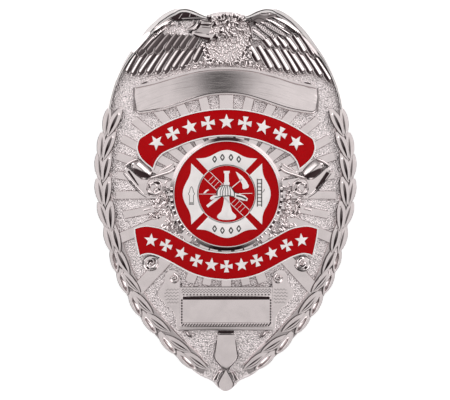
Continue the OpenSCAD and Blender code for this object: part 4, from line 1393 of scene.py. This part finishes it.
# Painted shade darkens the sides of the bars and tools, which outlines them.
tools = [strip("bar", on_seal(np.linspace(a, b, 3)), half_width,
               flat_section(half_width, min(0.07, half_width * 0.6), 0.95), TOOL_H,
               ground=enamel_floor) for a, b, half_width in bars]
for outline, height in ((AXE, TOOL_H), (HORN, TOOL_H), (HOOK, TOOL_H), (HELMET, HELMET_H)):
    tools.append(plate("tool", on_seal(outline[::-1]), height, 0.06, ground=enamel_floor,
                       pitch=UNCUT, dark=1.0))
finish_piece(join(tools, "seal_tools"), SATIN)

# %% [markdown]
# ## Black lines on the seal
# The helmet's ribs, a small hydrant, a small ladder and a few diamonds are engraved
# and filled with black. Each is a low strip of the fill, just proud of the metal.

# %% Black lines
HYDRANT = [
    (-7.0, -1.7), (-6.6, -1.75), (-6.6, -0.3), (-6.35, 0.05), (-6.6, 0.35), (-6.75, 1.1),
    (-7.0, 1.5), (-7.25, 1.1), (-7.4, 0.35), (-7.65, 0.05), (-7.4, -0.3), (-7.4, -1.75),
    (-7.0, -1.7),
]
RIBS = [(-1.9, -1.75), (-1.3, -1.0), (-0.8, -0.45), (-0.3, 0.0), (0.25, 0.35), (0.75, 0.95)]
DIAMOND, DIAMONDS_R = 0.62, 7.3
on_cross = [  # points, half width
    (HYDRANT, 0.06), ([(-7.5, -2.0), (-6.5, -2.0)], 0.12),
    ([(6.95, 0.2), (7.4, 0.6), (7.5, 1.0)], 0.06),
]
on_cross += [([(x, -2.5), (x, 3.0)], 0.11) for x in (6.1, 6.95)]
on_cross += [([(6.1, y), (6.95, y)], 0.09) for y in np.arange(-2.2, 3.0, 0.72)]
for x in (-2.4, -0.85, 0.85, 2.4):
    for y in (math.sqrt(DIAMONDS_R**2 - x * x), -math.sqrt(DIAMONDS_R**2 - x * x)):
        up, aside = DIAMOND, 0.6 * DIAMOND
        on_cross.append(([(x, y + up), (x + aside, y), (x, y - up), (x - aside, y), (x, y + up)],
                         0.13))
on_helmet = [
    ([(1.55, -0.4), (1.5, 0.4), (1.0, 1.2)], 0.1),
    ([(1.9, -0.35), (3.0, -0.6), (3.9, -1.05)], 0.18),
    (np.array(HELMET[:9]) * 0.96, 0.07),
    ([(-2.4, -0.75), (-1.0, -0.45), (0.6, -0.35), (1.6, -0.6)], 0.1),
]
on_helmet += [([(a, -0.35), (a * 0.98, 0.6), (b * 0.7 - 0.1, 1.6)], 0.08) for a, b in RIBS]
lines = []
for table, z in ((on_cross, SEAL_TOP), (on_helmet, SEAL_FLOOR + HELMET_H)):
    for points, half_width in table:
        path = evenly(on_seal(points), max(6, 6 * len(points)))
        section = footed((-0.9, 1, 0), (0.9, 1, 0), dark=0)
        lines.append(strip("line", path, half_width, section, 0.015, ground=level(z)))
finish_piece(join(lines, "seal_lines"), BLACK)

# %% [markdown]
# ## Scrolls and curls
# The ribbons roll back at their ends. A roll is a strip with a half-round section; a
# volute is the same section wound along a spiral.

# %% Rolls and spirals
ROUND_SECTION = footed(
    (-1, 0, 0.8), (-0.92, 0.39, 0.15), (-0.7, 0.71, 0), (-0.38, 0.92, 0), (0, 1, 0),
    (0.38, 0.92, 0), (0.7, 0.71, 0), (0.92, 0.39, 0.15), (1, 0, 0.8),
)
FOLD_SECTION = footed(
    (-1, 0.05, 0.95), (-0.93, 0.22, 0.75), (-0.8, 0.32, 0.55), (-0.6, 0.46, 0.35),
    (-0.4, 0.6, 0.08), (-0.2, 0.74, 0), (-0.05, 0.85, 0), (0.05, 0.9, 0), (0.15, 0.92, 0),
    (0.25, 0.93, 0), (0.35, 0.92, 0), (0.45, 0.9, 0), (0.55, 0.87, 0), (0.65, 0.83, 0),
    (0.75, 0.8, 0), (0.85, 0.77, 0), (0.93, 0.7, 0.1), (1, 0.3, 0.8),
)
FOLD_ROWS = 30


def rounded(path, half, height, lift=0.0, n=24, section=ROUND_SECTION):
    """A half-round strip whose ends close down."""
    path = evenly(smooth(path, 6), n)
    ends = np.sqrt(np.maximum(0.02, 1 - np.abs(np.linspace(-1, 1, n)) ** 8))
    return strip("round", path, along(half, n) * ends, section, height * ends, lift)


def fold(path, half, height, lift, flip):
    """A rolled end with a painted dark S-shaped reflection along it."""
    section = flipped(FOLD_SECTION) if flip else FOLD_SECTION
    o = rounded(path, half, height, lift, FOLD_ROWS, section)
    across = np.array([row[0] for row in section]) * (-1 if flip else 1)
    t = np.clip((np.arange(FOLD_ROWS + 2) - 1) / (FOLD_ROWS - 1), 0, 1)[:, None]
    middle = np.interp(t, [0, 0.2, 0.4, 0.7, 0.95], [0.9, 0.82, 0.68, 0.5, 0.1])
    reach = np.interp(t, [0.05, 0.2, 0.45, 0.7, 0.88, 1], [0.03, 0.2, 0.38, 0.5, 0.42, 0.24])
    depth = np.interp(t, [0, 0.2, 0.35], [0.6, 0.85, 1])
    shadow = np.clip((reach - np.abs(across - middle)) / 0.07 + 0.5, 0, 1) * depth
    darken(o, shadow.ravel())
    return o


def spiral(centre, r0, r1, turns, start, n=60):
    t = np.linspace(0, 1, n)
    return around(centre, (r0 + (r1 - r0) * t)[:, None], start + 360 * turns * t)


def on_side(side, points):
    """Points of the left scroll, or the same mirrored and moved to the right one's place."""
    points = np.array(points, float)
    return points if side < 0 else points * [-1, 1] + [0.55, 0]


print("points across a roll:", len(ROUND_SECTION), "and across a fold:", len(FOLD_SECTION))

# %% Forms of the left scroll
FOLD = [(-19.1, 7.45), (-18.0, 7.0), (-16.7, 5.9), (-15.5, 4.9), (-14.9, 4.5)]
TONGUE = [(-14.3, 5.1), (-12.3, 6.5), (-10.2, 7.4), (-9.8, 6.4), (-11.5, 5.6), (-13.2, 4.9)]
FLAP = [
    (-19.3, 6.2), (-18.0, 5.0), (-16.8, 4.1), (-15.3, 4.2), (-15.7, 3.2), (-15.9, 2.0),
    (-15.3, 0.7), (-16.6, 1.2), (-18.3, 3.0), (-20.0, 5.0), (-20.3, 5.8), (-20.0, 6.6),
]
VOLUTE_AT = (-14.35, 2.35)
VOLUTE = around(VOLUTE_AT, (1.85, 1.8), 11.25 * np.arange(32))
FLAT_FORMS = [(TONGUE, 0.45, 0.2, 0.5), (FLAP, 0.7, 0.14, 0.6), (VOLUTE, 0.55, 0.16, 0.6)]
ROLLS = [  # points, half widths, height, lift, rows
    ([(-20.1, 6.7), (-18.9, 7.5), (-17.6, 8.1)], 0.2, 0.3, 1.0, 24),
    ([(-16.7, 4.15), (-15.2, 4.3), (-13.1, 4.9), (-11.3, 5.5), (-9.9, 6.5)],
     [0.15, 0.3, 0.32, 0.3], 0.5, 0.4, 30),
    ([(-13.0, 5.7), (-11.8, 6.3), (-10.6, 7.1)], [0.15, 0.28, 0.2], 0.4, 0.3, 24),
    ([(-16.6, -2.2), (-15.7, -1.95), (-14.9, -1.85)], 0.22, 0.4, 0.3, 24),
    ([(-14.4, -4.0), (-13.4, -3.4), (-12.6, -2.9)], 0.18, 0.4, 0.3, 24),
]
# Painted shade: the dark stroke beside each fold.
STROKES = {  # the dark stroke beside the fold is broader on the right
    -1: ([(-19.5, 5.7), (-18.6, 4.4), (-17.5, 2.8)], [0.25, 0.25, 0.1], 0.8, 1),
    1: ([(-19.85, 5.4), (-18.75, 3.8), (-17.4, 2.15)], [0.4, 0.4, 0.16], 0.8, 1),
}
# Dark lines and spots of painted shade on the scroll, its flap and its volute.
SCROLL_CUTS = [  # points, half widths, lift, darkness
    ([(-20.5, 5.2), (-19.2, 3.5), (-17.4, 1.4), (-15.9, 0.4)], 0.08, 0.42, 0.9),
    ([(-15.9, 3.1), (-16.05, 2.5), (-15.8, 1.8)], [0.06, 0.2, 0.06], 0.58, 0.85),
    ([(-14.5, 3.3), (-13.9, 3.35), (-13.3, 3.15)], [0.12, 0.22, 0.12], 1.0, 1),
    ([(-15.45, 3.1), (-15.3, 2.3)], [0.12, 0.22], 1.0, 0.95),
    ([(-13.5, 2.15), (-13.2, 1.8)], 0.17, 1.0, 1),
    ([(-15.7, 1.2), (-15.0, 0.95), (-14.3, 0.9)], [0.06, 0.17, 0.06], 1.0, 0.9),
    (spiral((-14.3, 2.35), 1.9, 1.9, -0.3, -20, 12), 0.06, 0.3, 0.85),
    ([(-13.4, 5.3), (-12.2, 5.6), (-11.2, 6.1)], [0.1, 0.2, 0.08], 0.15, 0.9),
    ([(-10.1, 5.6), (-9.9, 5.2)], [0.3, 0.2], 0.3, 1),
    ([(-10.5, 6.7), (-10.2, 6.5)], [0.16, 0.1], 0.85, 0.9),
]
# Dark marks of painted shade on each curl.
CURL_CUTS = [
    ([(-0.9, 0.5), (-0.6, 0.9), (-0.1, 1.0)], [0.1, 0.2, 0.1], 1.38, 0.95),
    ([(0.5, -1.15), (0.95, -0.7)], [0.2, 0.12], 1.38, 0.95),
]
print("rolls and cuts of a scroll:", len(ROLLS), len(SCROLL_CUTS))

# %% Scrolls
scrolls = []
for side in (-1, 1):
    scrolls.append(fold(on_side(side, FOLD), [0.95, 1.4, 1.5, 1.4, 1.1], 1.2, 0.15, side > 0))
    for outline, height, bevel, dark in FLAT_FORMS:
        outline = on_side(side, outline)[::-side]
        scrolls.append(plate("form", outline, height, bevel, dark=dark))
    scrolls += [rounded(on_side(side, points), *how) for points, *how in ROLLS]
    whorl = spiral(on_side(side, [VOLUTE_AT])[0], 1.6, 0.5, 1.55 * side, 90)
    scrolls.append(rounded(whorl, [0.24, 0.34, 0.3], 0.45, 0.5, 60))
    whorl = spiral(on_side(side, [(-11.4, 3.2)])[0], 1.3, 0.4, side, 60)
    scrolls.append(rounded(whorl, 0.2, 0.35, 0.2, 40))
    add_shade_lines(*((on_side(side, points), *how) for points, *how in [STROKES[side], *SCROLL_CUTS]))
    curl = np.array([side * 15.1 + 0.15, -12.75])
    rim_of_curl = around(curl, (1.65, 1.6), 360 / 28 * np.arange(28))
    scrolls.append(plate("curl", rim_of_curl, 0.5, 0.3))
    whorl = spiral(curl, 1.15, 0.2, 1.1 * side, 60)
    scrolls.append(rounded(whorl, [0.4, 0.62, 0.5], 0.95, 0.4, 50))
    add_shade_lines((spiral(curl, 0.62, 0.42, 0.4 * side, 200, 12), [0.12, 0.26, 0.12], 1.38, 1),
            (spiral(curl, 1.6, 1.6, 0.35 * side, 190, 12), 0.08, 0.4, 0.9),
            *((curl + np.array(points) * [side, 1], *how) for points, *how in CURL_CUTS))
finish_piece(join(scrolls, "scrolls"), angle=50)

# %% [markdown]
# Beside the seal the scrolls break up into small curled leaves. One leaf is modelled
# and stamped many times, turned a little each time, with small spots of painted shade between.

# %% Foliage
FROND_SECTION = footed(
    (-1, 0.2, 0.2), (-0.6, 0.85, 0), (-0.1, 1, 0), (0, 0.7, 0.4), (0.12, 0.95, 0),
    (0.6, 0.8, 0), (1, 0.2, 0.2), dark=0.45,
)
frond = master("frond", [(0, 0.5), (0.35, 1), (0.7, 0.8), (1, 0.1)], FROND_SECTION, 7,
               [(0, 0.6), (0.6, 1), (1, 0.5)])
SPRAY, LOWER_SPRAY = 46, 44  # leaves beside the seal and below it, on each side
random.seed(5)
fronds = []
for side in (-1, 1):
    for k in range(SPRAY):
        x, y = random.uniform(-14.2, -10.6), random.uniform(-4.9, 1.6)
        if math.hypot(x, y - SEAL_Y) < 11.7 or k % 3 == 1:
            x = -math.sqrt(max(0, random.uniform(11.6, 12.4) ** 2 - (y - SEAL_Y) ** 2))
        way = random.uniform(100, 260)
        leaf_ends = [(x, y), around((x, y), random.uniform(0.9, 1.8), way)]
        a, b = np.array(leaf_ends) * [-side, 1]
        fronds.append(stamp(frond, a, b, random.uniform(0.2, 0.36), 0.45, (0.35, 0.55)))
        if k % 4 == 0:
            add_shade_lines((on_side(side, [(x + 0.2, y + 0.4), (x, y + 0.1)]), [0.2, 0.1], 0.72, 1))
for side in (-1, 1):
    for k in range(LOWER_SPRAY):
        a = random.uniform(194, 240)
        at = around(MIDDLE, random.uniform(11.5, 13.9), a)
        way = a + math.degrees(random.uniform(-0.9, 0.9))
        a, b = np.array([at, around(at, 1.1, way)]) * [-side, 1]
        fronds.append(stamp(frond, a, b, random.uniform(0.2, 0.34), 0.3, (0.45, 0.55)))
drop(frond)
finish_piece(join(fronds, "foliage"), angle=50)

# %% [markdown]
# ## Pedestal and number panel
# Below the lower ribbon a pedestal carries a sunk blank panel for a number. Wavy lines
# are cut in its wings, a zigzag and a row of pits run above the panel, and a rope below.

# %% Pedestal
PEDESTAL = [
    (0, -17.35), (9.2, -17.35), (9.15, -15.9), (9.5, -14.7), (10.3, -14.0), (11.4, -14.1),
    (12.2, -14.9), (12.3, -16.3), (12.9, -17.3), (13.5, -18.2), (13.65, -19.0), (13.2, -19.8),
    (12.4, -20.4), (12.1, -21.2), (11.2, -21.6), (10.6, -22.3), (10.0, -23.6), (9.9, -25.6),
    (9.6, -26.1), (0, -26.1),
]
BOX = [(-9.25, -25.45), (9.25, -25.45), (9.25, -17.4), (-9.25, -17.4)]
base = plate("base", whole(np.array(PEDESTAL)), 0.4, 0.08)
box = plate("box", BOX, 0.85, 0.1, pitch=1.55, dark=0.5)
finish_piece(join([base, box], "pedestal"))

# %% [markdown]
# The sunk floor of the number panel is polished and blank. It is one wide strip, and its
# section carries the shadow under the panel's upper edge.

# %% Number panel
PANEL_FLOOR = [
    (-1, FOOT, 1), (-1, 0.12, 1), (-0.99, 0.1, 1), (-0.81, 0.02, 1), (-0.8, 0, 0.15), (-0.77, 0, 0),
    (0, 0, 0), (0.94, 0, 0), (0.97, 0, 0.3), (1, 0.05, 0.3), (1, FOOT, 1),
]
path = np.linspace((-8.65, -22.0), (8.65, -22.0), 25)
finish_piece(strip("number_panel", path, 2.58, PANEL_FLOOR, 1.0, 0.87))

# %% [markdown]
# All this trim is engraved, and the shade in its grooves is painted dark, so it goes into
# the list of painted shade marks. The two whorls, the moulding and the droplets are rolls.

# %% Zigzag, pits, rope and waves
TURNS, PITS, TWISTS, WAVES, WAVE_H = 57, 26, 32, 5, 0.15
up_down = 2 * (np.arange(TURNS) % 2) - 1
zig = np.column_stack([np.linspace(-8.9, 8.9, TURNS), -18.2 + 0.19 * up_down])
shade_marks += [strip("zig", zig + [0, dy], 0.09, cut_section(0.8), 0.02, 0.87) for dy in (-0.24, 0.24)]
add_shade_lines(([(-9.2, -17.45), (0, -17.45), (9.2, -17.45)], 0.06, 0.85, 0.75), n=31)
for x in np.linspace(-8.5, 8.5, PITS):
    add_shade_lines(([(x - 0.15, -18.95), (x + 0.15, -18.95)], 0.14, 0.86, 0.97), n=5)
for x in np.linspace(-8.6, 8.6, TWISTS):
    add_shade_lines(([(x - 0.22, -25.23), (x + 0.22, -24.73)], 0.13, 0.9, 1), n=5)
for side in (-1, 1):
    for y in -19.9 - 0.56 * np.arange(9):
        add_shade_lines(([(8.87, y), (8.87, y - 0.36)], 0.17, 0.9, 0.97), side=side, n=5)
    for k in range(WAVES):
        t = np.linspace(0, 1, 40)
        x = 9.5 + (2.9 - 0.25 * abs(k - 1.5)) * t
        y = -17.95 - 0.64 * k + WAVE_H * np.sin(t * 8 * math.pi)
        wave = np.column_stack([side * x, y])
        shade_marks.append(strip("wave", wave, 0.065, cut_section(0.6), 0.02, 0.4))
print("engraved lines so far:", len(shade_marks))

# %% Trim of the pedestal
DROPLET = [(8.6, -26.6), (7.9, -26.35), (7.5, -26.9), (6.9, -27.1), (6.4, -26.7)]
TRIM_CUTS = [
    ([(10.2, -15.9), (10.7, -16.1)], [0.15, 0.1], 0.8, 0.85),
    ([(9.3, -16.9), (8.8, -16.95)], [0.15, 0.1], 0.3, 0.95),
    ([(7.9, -26.75), (7.4, -27.35), (6.7, -27.5)], 0.1, 0.12, 0.9),
]
trim = [rounded([(-8.9, -19.32), (0, -19.3), (8.9, -19.32)], 0.15, 0.3, 0.86, 40)]
for side in (-1, 1):
    whorl = spiral((side * 10.45, -15.7), 0.95, 0.2, 1.2 * side, 100)
    trim.append(rounded(whorl, [0.25, 0.4, 0.35], 0.6, 0.35, 40))
    trim.append(rounded(np.array(DROPLET) * [side, 1], 0.2, 0.45, 0.1))
    add_shade_lines(*TRIM_CUTS, side=side)
finish_piece(join(trim, "pedestal_trim"))

# %% [markdown]
# ## Finial
# A flat blade hangs from the pedestal and ends in a point, with a drop below it.

# %% Finial
BLADE = [
    (-1.68, -26.9), (1.68, -26.9), (1.85, -28.5), (2.1, -30.4), (2.2, -31.4), (2.0, -32.0),
    (0.15, -33.95), (-0.15, -33.95), (-2.0, -32.0), (-2.2, -31.4), (-2.1, -30.4), (-1.85, -28.5),
]
LAST = [
    (0, -34.1), (0.42, -34.8), (1.05, -35.9), (1.42, -36.9), (1.1, -37.6), (0, -38.25),
    (-1.1, -37.6), (-1.42, -36.9), (-1.05, -35.9), (-0.42, -34.8),
]
# Lines of painted shade along the edges of the blade, the drop and the lines beside it.
FINIAL_CUTS = [
    ([(0.75, -34.1), (1.5, -35.1), (2.1, -36.0)], 0.11, 0.25, 0.92),
    ([(0.12, -34.15), (0.56, -34.85), (1.18, -35.9), (1.55, -36.9), (1.3, -37.5)], 0.09, 0.68, 0.9),
    ([(1.9, -28.2), (2.25, -30.4), (2.4, -31.5), (0.5, -33.9)], 0.1, 0.1, 0.85),
]
finial = [
    plate("blade", BLADE[::-1], 0.95, 0.08, dark=0.8),
    plate("last", smooth(LAST, 3, closed=True)[::-1], 0.75, 0),
    rounded([(-1.5, -26.72), (0, -26.72), (1.5, -26.72)], 0.1, 0.3, 0.35),
]
for side in (-1, 1):
    for near, far, half_width in ((0.95, 2.5, 0.2), (0.6, 1.75, 0.14)):
        drop_line = [(near, -33.8 - 0.3 * near), ((near + far) / 2 + 0.2, -34.9), (far, -36.1)]
        finial.append(rounded(np.array(drop_line) * [side, 1], half_width, 0.35, 0.3))
    add_shade_lines(*FINIAL_CUTS, side=side)
# Painted shade: a dark band where the blade meets the pedestal.
add_shade_lines(([(-1.55, -26.4), (1.55, -26.4)], 0.26, 0.1, 1))
finish_piece(join(finial, "finial"))

# %% [markdown]
# ## Eagle's head and breast
# The head looks to the viewer's left. Its beak is long and smooth, with deep lines
# along it. The neck and the breast are a low mound, crowded with small ruffled tufts
# that turn every way, so at arm's length they glitter.

# %% Beak and mound
CHEST = [
    (-3.4, 36.2), (-1.5, 36.9), (0.5, 37.0), (2.8, 36.5), (4.4, 35.4), (5.0, 34.2), (4.8, 32.0),
    (4.1, 30.0), (3.0, 28.4), (1.2, 27.5), (-1.2, 27.5), (-3.0, 28.4), (-3.9, 29.8), (-4.2, 31.3),
    (-3.4, 32.0),
]
BEAK = [
    (-6.8, 33.2), (-5.8, 32.6), (-4.2, 32.1), (-2.6, 31.9), (-1.6, 32.6), (-1.2, 34.4),
    (-1.8, 36.0), (-3.6, 36.2), (-5.2, 35.8), (-5.3, 34.6), (-6.4, 34.1),
]
eagle = [plate("breast", smooth(CHEST[::-1], 3, closed=True), 0.42, 0.4, dark=0),
         plate("beak", smooth(BEAK[::-1], 3, closed=True), 1.15, 0.12, dark=0.8)]
print("points in the beak:", len(eagle[1].data.vertices))

# %% Lines and spots of the head
# The deep lines and the black spots of the head are painted shade.
HEAD_CUTS = [
    ([(-5.1, 34.9), (-4.0, 34.85), (-2.8, 34.75)], [0.12, 0.24, 0.2], 1.22, 1),
    ([(-4.8, 34.4), (-3.4, 34.25), (-2.1, 34.2)], 0.07, 1.2, 0.9),
    ([(-6.5, 32.95), (-5.1, 32.4), (-3.2, 31.95)], [0.12, 0.2, 0.38], 1.22, 1),
    ([(-4.9, 35.8), (-3.3, 35.5), (-1.8, 36.1)], 0.08, 1.2, 0.95),
    ([(-8.3, 36.0), (-6.6, 36.05), (-4.7, 36.0)], 0.11, 1.1, 0.95),
    ([(-4.3, 36.35), (-2.9, 36.2)], 0.16, 1.2, 1),
    ([(-6.3, 33.35), (-5.5, 33.3), (-4.7, 33.2)], [0.05, 0.14, 0.05], 1.2, 0.8),
    ([(-3.9, 33.0), (-3.4, 32.85)], 0.12, 1.2, 0.85),
]
SPOTS = [  # x, y, size
    (-2.3, 34.95, 0.5), (-2.25, 32.45, 0.55), (-3.3, 36.1, 0.34), (-1.4, 36.3, 0.36),
    (-0.15, 36.75, 0.3), (0.64, 36.7, 0.22), (1.9, 36.4, 0.26), (2.9, 36.0, 0.26),
    (4.5, 35.3, 0.2), (5.7, 35.2, 0.3), (-3.0, 36.5, 0.16), (1.1, 34.1, 0.2), (-1.2, 33.3, 0.22),
    (-0.2, 32.4, 0.2), (1.1, 32.8, 0.18), (-0.9, 35.4, 0.18), (0.4, 35.5, 0.16),
    (-0.6, 36.9, 0.2), (2.3, 34.9, 0.15),
]
add_shade_lines(*HEAD_CUTS)
# Each spot is a thin patch painted dark as shade.
shade_marks += [painted_shade_patch([(x + r, y - 0.6 * r), (x + 0.1 * r, y + r), (x - r, y - 0.7 * r)], 1.9)
          for x, y, r in SPOTS]
print("engraved lines so far:", len(shade_marks))

# %% [markdown]
# The tufts are stamps of one small pointed leaf. They stand on a loose grid, and a fixed
# seed makes their disorder the same on every run.

# %% Tufts
# The tuft's edges and foot are painted dark as shade.
TUFT_SECTION = footed(
    (-1, 0.3, 0.45), (-0.6, 0.85, 0), (0, 1, 0), (0.6, 0.85, 0), (1, 0.3, 0.45), dark=0.8,
)
tuft = master("tuft", [(0, 0.6), (0.4, 1), (0.75, 0.75), (1, 0.1)], TUFT_SECTION, 6,
              [(0, 0.4), (0.6, 1), (1, 0.4)])
random.seed(3)
tufts = []


def ruffle(x0, x1, y0, y1, pitch, length, half, lift, wild, inside=lambda x, y: True):
    """Tufts on a loose grid, each turned by a random angle round straight down."""
    y, row = y0, 0
    while y <= y1:
        x = x0 + (row % 2) * pitch / 2
        while x <= x1:
            if inside(x, y):
                way = -90 + random.uniform(-wild, wild)
                a = np.array([x + random.uniform(-0.12, 0.12), y + random.uniform(-0.12, 0.12)])
                b = around(a, length * random.uniform(0.8, 1.2), way)
                bow = random.uniform(-0.2, 0.2)
                tufts.append(stamp(tuft, a, b, half * random.uniform(0.8, 1.2),
                                   random.uniform(0.2, 0.42), (lift, lift + 0.1), bow))
            x += pitch
        y += pitch * 0.8
        row += 1


def in_breast(x, y):
    reach = np.interp(y, [26.9, 28.5, 30, 33, 35.5, 36.8], [5.4, 4.6, 4.8, 5.3, 4.4, 2.2])
    return -reach + 2.16 * (y > 31.5) < x < reach


def in_fringe(x, y):
    return 27.0 < y + 0.0165 * x * x < 28.0 + 0.02 * abs(x)


ruffle(-5.2, 5.4, 27.6, 36.7, 0.62, 0.85, 0.2, 0.6, 75, in_breast)
ruffle(-1.6, 2.6, 33.0, 36.6, 0.9, 1.1, 0.26, 1.1, 110)
ruffle(-11.8, -8.2, 33.3, 35.0, 0.95, 0.6, 0.16, 0.85, 70)
ruffle(-2.9, -1.6, 32.6, 36.2, 0.6, 0.8, 0.2, 1.15, 100)
ruffle(-8.5, 8.5, 25.4, 28.6, 0.6, 0.75, 0.2, 0.2, 120, in_fringe)
for k in range(11):
    a = 160 - k * 13.5
    root = around((0.6, 35.2), (2.9, 0.9), a)
    tufts.append(stamp(tuft, root, around(root, 1.0, a), 0.2, 0.4, (1.4, 1.3)))
drop(tuft)
print("tufts:", len(tufts))

# %% [markdown]
# Left of the beak lies a shell-shaped crest with two half-moon forms. The crest and the
# shoulders are stippled like the field, so they show as matt ground behind bright edges.

# %% Crest and shoulders
CREST = [
    (-8.6, 35.6), (-6.8, 35.7), (-5.3, 35.6), (-5.8, 34.5), (-6.8, 33.7), (-7.7, 33.4),
    (-8.3, 34.4),
]
SHOULDER = [
    (-12.2, 34.9), (-10.9, 35.7), (-9.4, 35.6), (-8.4, 35.5), (-8.2, 34.3), (-7.4, 33.3),
    (-6.0, 33.2), (-5.2, 32.5), (-8.0, 32.8), (-10.4, 32.9), (-12.6, 32.9), (-13.6, 33.5),
]
MANTLE = [
    (5.0, 34.4), (6.6, 35.6), (8.6, 36.2), (11.4, 35.6), (14.9, 33.3), (15.2, 32.8), (12.2, 32.3),
    (8.2, 31.7), (5.3, 31.9),
]
crest = plate("crest", smooth(CREST[::-1], 3, closed=True), 0.95, 0.12, dark=0.25)
# Painted shade: the crest is made a little darker all over.
darken(crest, 0.18)
shoulder = plate("shoulder", SHOULDER[::-1], 0.9, 0.12, dark=0.3)
mantle = plate("mantle", MANTLE[::-1], 0.85, 0.12, dark=0.3)
finish_piece(join([crest, shoulder, mantle], "crest"), STIPPLED)

# %% Crescents of the crest
CRESCENT = [
    (-1, FOOT, 0.8), (-1, 0, 0.5), (-0.85, 0.12, 0), (0.8, 1, 0), (0.9, 1, 0.6), (1, FOOT, 1),
]
CREST_TOP = 1.5
# Lines of painted shade beside the crescents.
CREST_CUTS = [
    ([(-5.95, 35.5), (-6.25, 34.9), (-6.9, 34.35)], [0.05, 0.1, 0.05], 1.2, 1),
    ([(-5.0, 35.6), (-5.3, 34.7), (-5.95, 34.0), (-7.2, 33.5)], [0.1, 0.17, 0.12, 0.04], 1.25, 1),
    ([(-4.75, 35.5), (-5.1, 34.3), (-6.0, 33.4), (-7.3, 32.95)], 0.09, 0.85, 0.9),
]
for bow, wide in ((0.0, 0.3), (-0.95, 0.24)):
    points = np.array([(-5.5, 35.8), (-5.8, 34.9), (-6.45, 34.25), (-7.6, 33.8)])
    points[:, 0] += bow * np.array([1, 1, 1, 0.4])
    tall = along([0.15, 1.35 * wide, 1.35 * wide, 0.15], 20)
    widths = along([0.12, wide, wide, 0.1], 20)
    path = evenly(smooth(points, 6), 20)
    eagle.append(strip("crescent", path, widths, CRESCENT, tall, CREST_TOP - tall))
for x, y in ((-11.9, 35.0), (-10.6, 35.1), (-12.4, 33.9)):
    eagle.append(rounded([(x - 0.4, y - 0.25), (x, y), (x + 0.4, y + 0.2)], 0.26, 0.5, 1.0, 12))
add_shade_lines(*CREST_CUTS)
add_shade_lines(*(([(x - 0.2, y), (x + 0.2, y)], 0.12, 1.3, 0.95)
          for x, y in ((-9.3, 35.1), (-11.2, 34.9), (-12.7, 33.4), (-13.9, 32.9))))
finish_piece(join(eagle + tufts, "eagle"), angle=50)
finish_piece(join(shade_marks, "painted_shade_lines"))

# %% [markdown]
# ## Pin clasp
# The clasp on the back is the CAD solid itself. It only needs its plain plating.

# %% Clasp finish
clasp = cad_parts["pin_clasp"]
if not clasp.material_slots:
    clasp.data.materials.append(PLAIN)
for slot in clasp.material_slots:
    slot.material = PLAIN
print("finish of the clasp:", clasp.material_slots[0].material.name)

# %% [markdown]
# ## Studio
# A nickel badge shows its studio. The sky here is a soft tent: pale grey overhead, so
# the polished flats are an even grey, and bright panels lower down with dark gaps
# between them, so the stipple and the feathers sparkle. The near side is dark. The
# badge lies on a white light table, which is why it casts almost no shadow.

# %% Light table
WHITE, OFF_WHITE = (0.95, 0.95, 0.95, 1), (0.93, 0.93, 0.93, 1)
deselect()
bpy.ops.mesh.primitive_plane_add(size=8)
floor = named("floor")
material, f, shader = new_finish("light_table")
f.fill(shader, {"Base Color": f.mix(f.noise(4, 2), WHITE, OFF_WHITE), "Roughness": 0.9,
                "Emission Color": (1, 1, 1, 1), "Emission Strength": 0.55})
floor.data.materials.append(material)
print("light table:", [round(d, 2) for d in floor.dimensions], "m")

# %% [markdown]
# The sky is written as a sum over the direction: a bright tent, panels low down, a dark
# side toward the viewer and one soft dark spot, which the tilted panel mirrors.

# %% Sky
world = bpy.data.worlds.new("tent")
world.use_nodes = True
bpy.context.scene.world = world
f = Finish(world.node_tree)
x, y, z = f.split(f.node("ShaderNodeTexCoord", output=0))
low_down = (1 - z).between(0.3, 0.44)
gaps = (0 - x.math("COSINE", y.math("ARCTAN2", y, x) * 4)).between(-0.75, -0.35)
tent = 0.75 + 0.2 * y + low_down * (1.3 * gaps - 0.55 * (1 - gaps))
near = (0 - y - 0.35 * x.math("ABSOLUTE", x)).between(0.52, 0.64)
spot_x, spot_y = x / 0.23, (y - 0.56) / 0.16
spot = y.math("EXPONENT", 0 - (spot_x * spot_x + spot_y * spot_y))
light = (tent * (1 - near) + 0.05 * near) * (1 - 0.95 * spot)
f.fill(world.node_tree.nodes["Background"], {"Color": (1.0, 0.985, 0.98, 1), "Strength": light})
print("nodes in the sky:", len(world.node_tree.nodes))

# %% [markdown]
# The camera looks almost straight down. It leans two degrees, because in the photo the
# raised parts stand a little to the right of where the outline puts them.

# %% Camera
AWAY, LEAN, AIM = 0.9, math.radians(2.2), (-0.0001, -0.0001, 0.001)
VIEW_WIDTH = 0.090
eye = (AIM[0] - AWAY * math.sin(LEAN), AIM[1], AIM[2] + AWAY * math.cos(LEAN))
bpy.ops.object.camera_add(location=eye, rotation=(0, -LEAN, 0))
camera = bpy.context.object
camera.data.lens = 36 * AWAY / VIEW_WIDTH
camera.data.clip_start, camera.data.clip_end = 0.01, 20
bpy.context.scene.camera = camera
bpy.context.scene.view_settings.view_transform = "Standard"
print("lens:", round(camera.data.lens), "mm")

# %% [markdown]
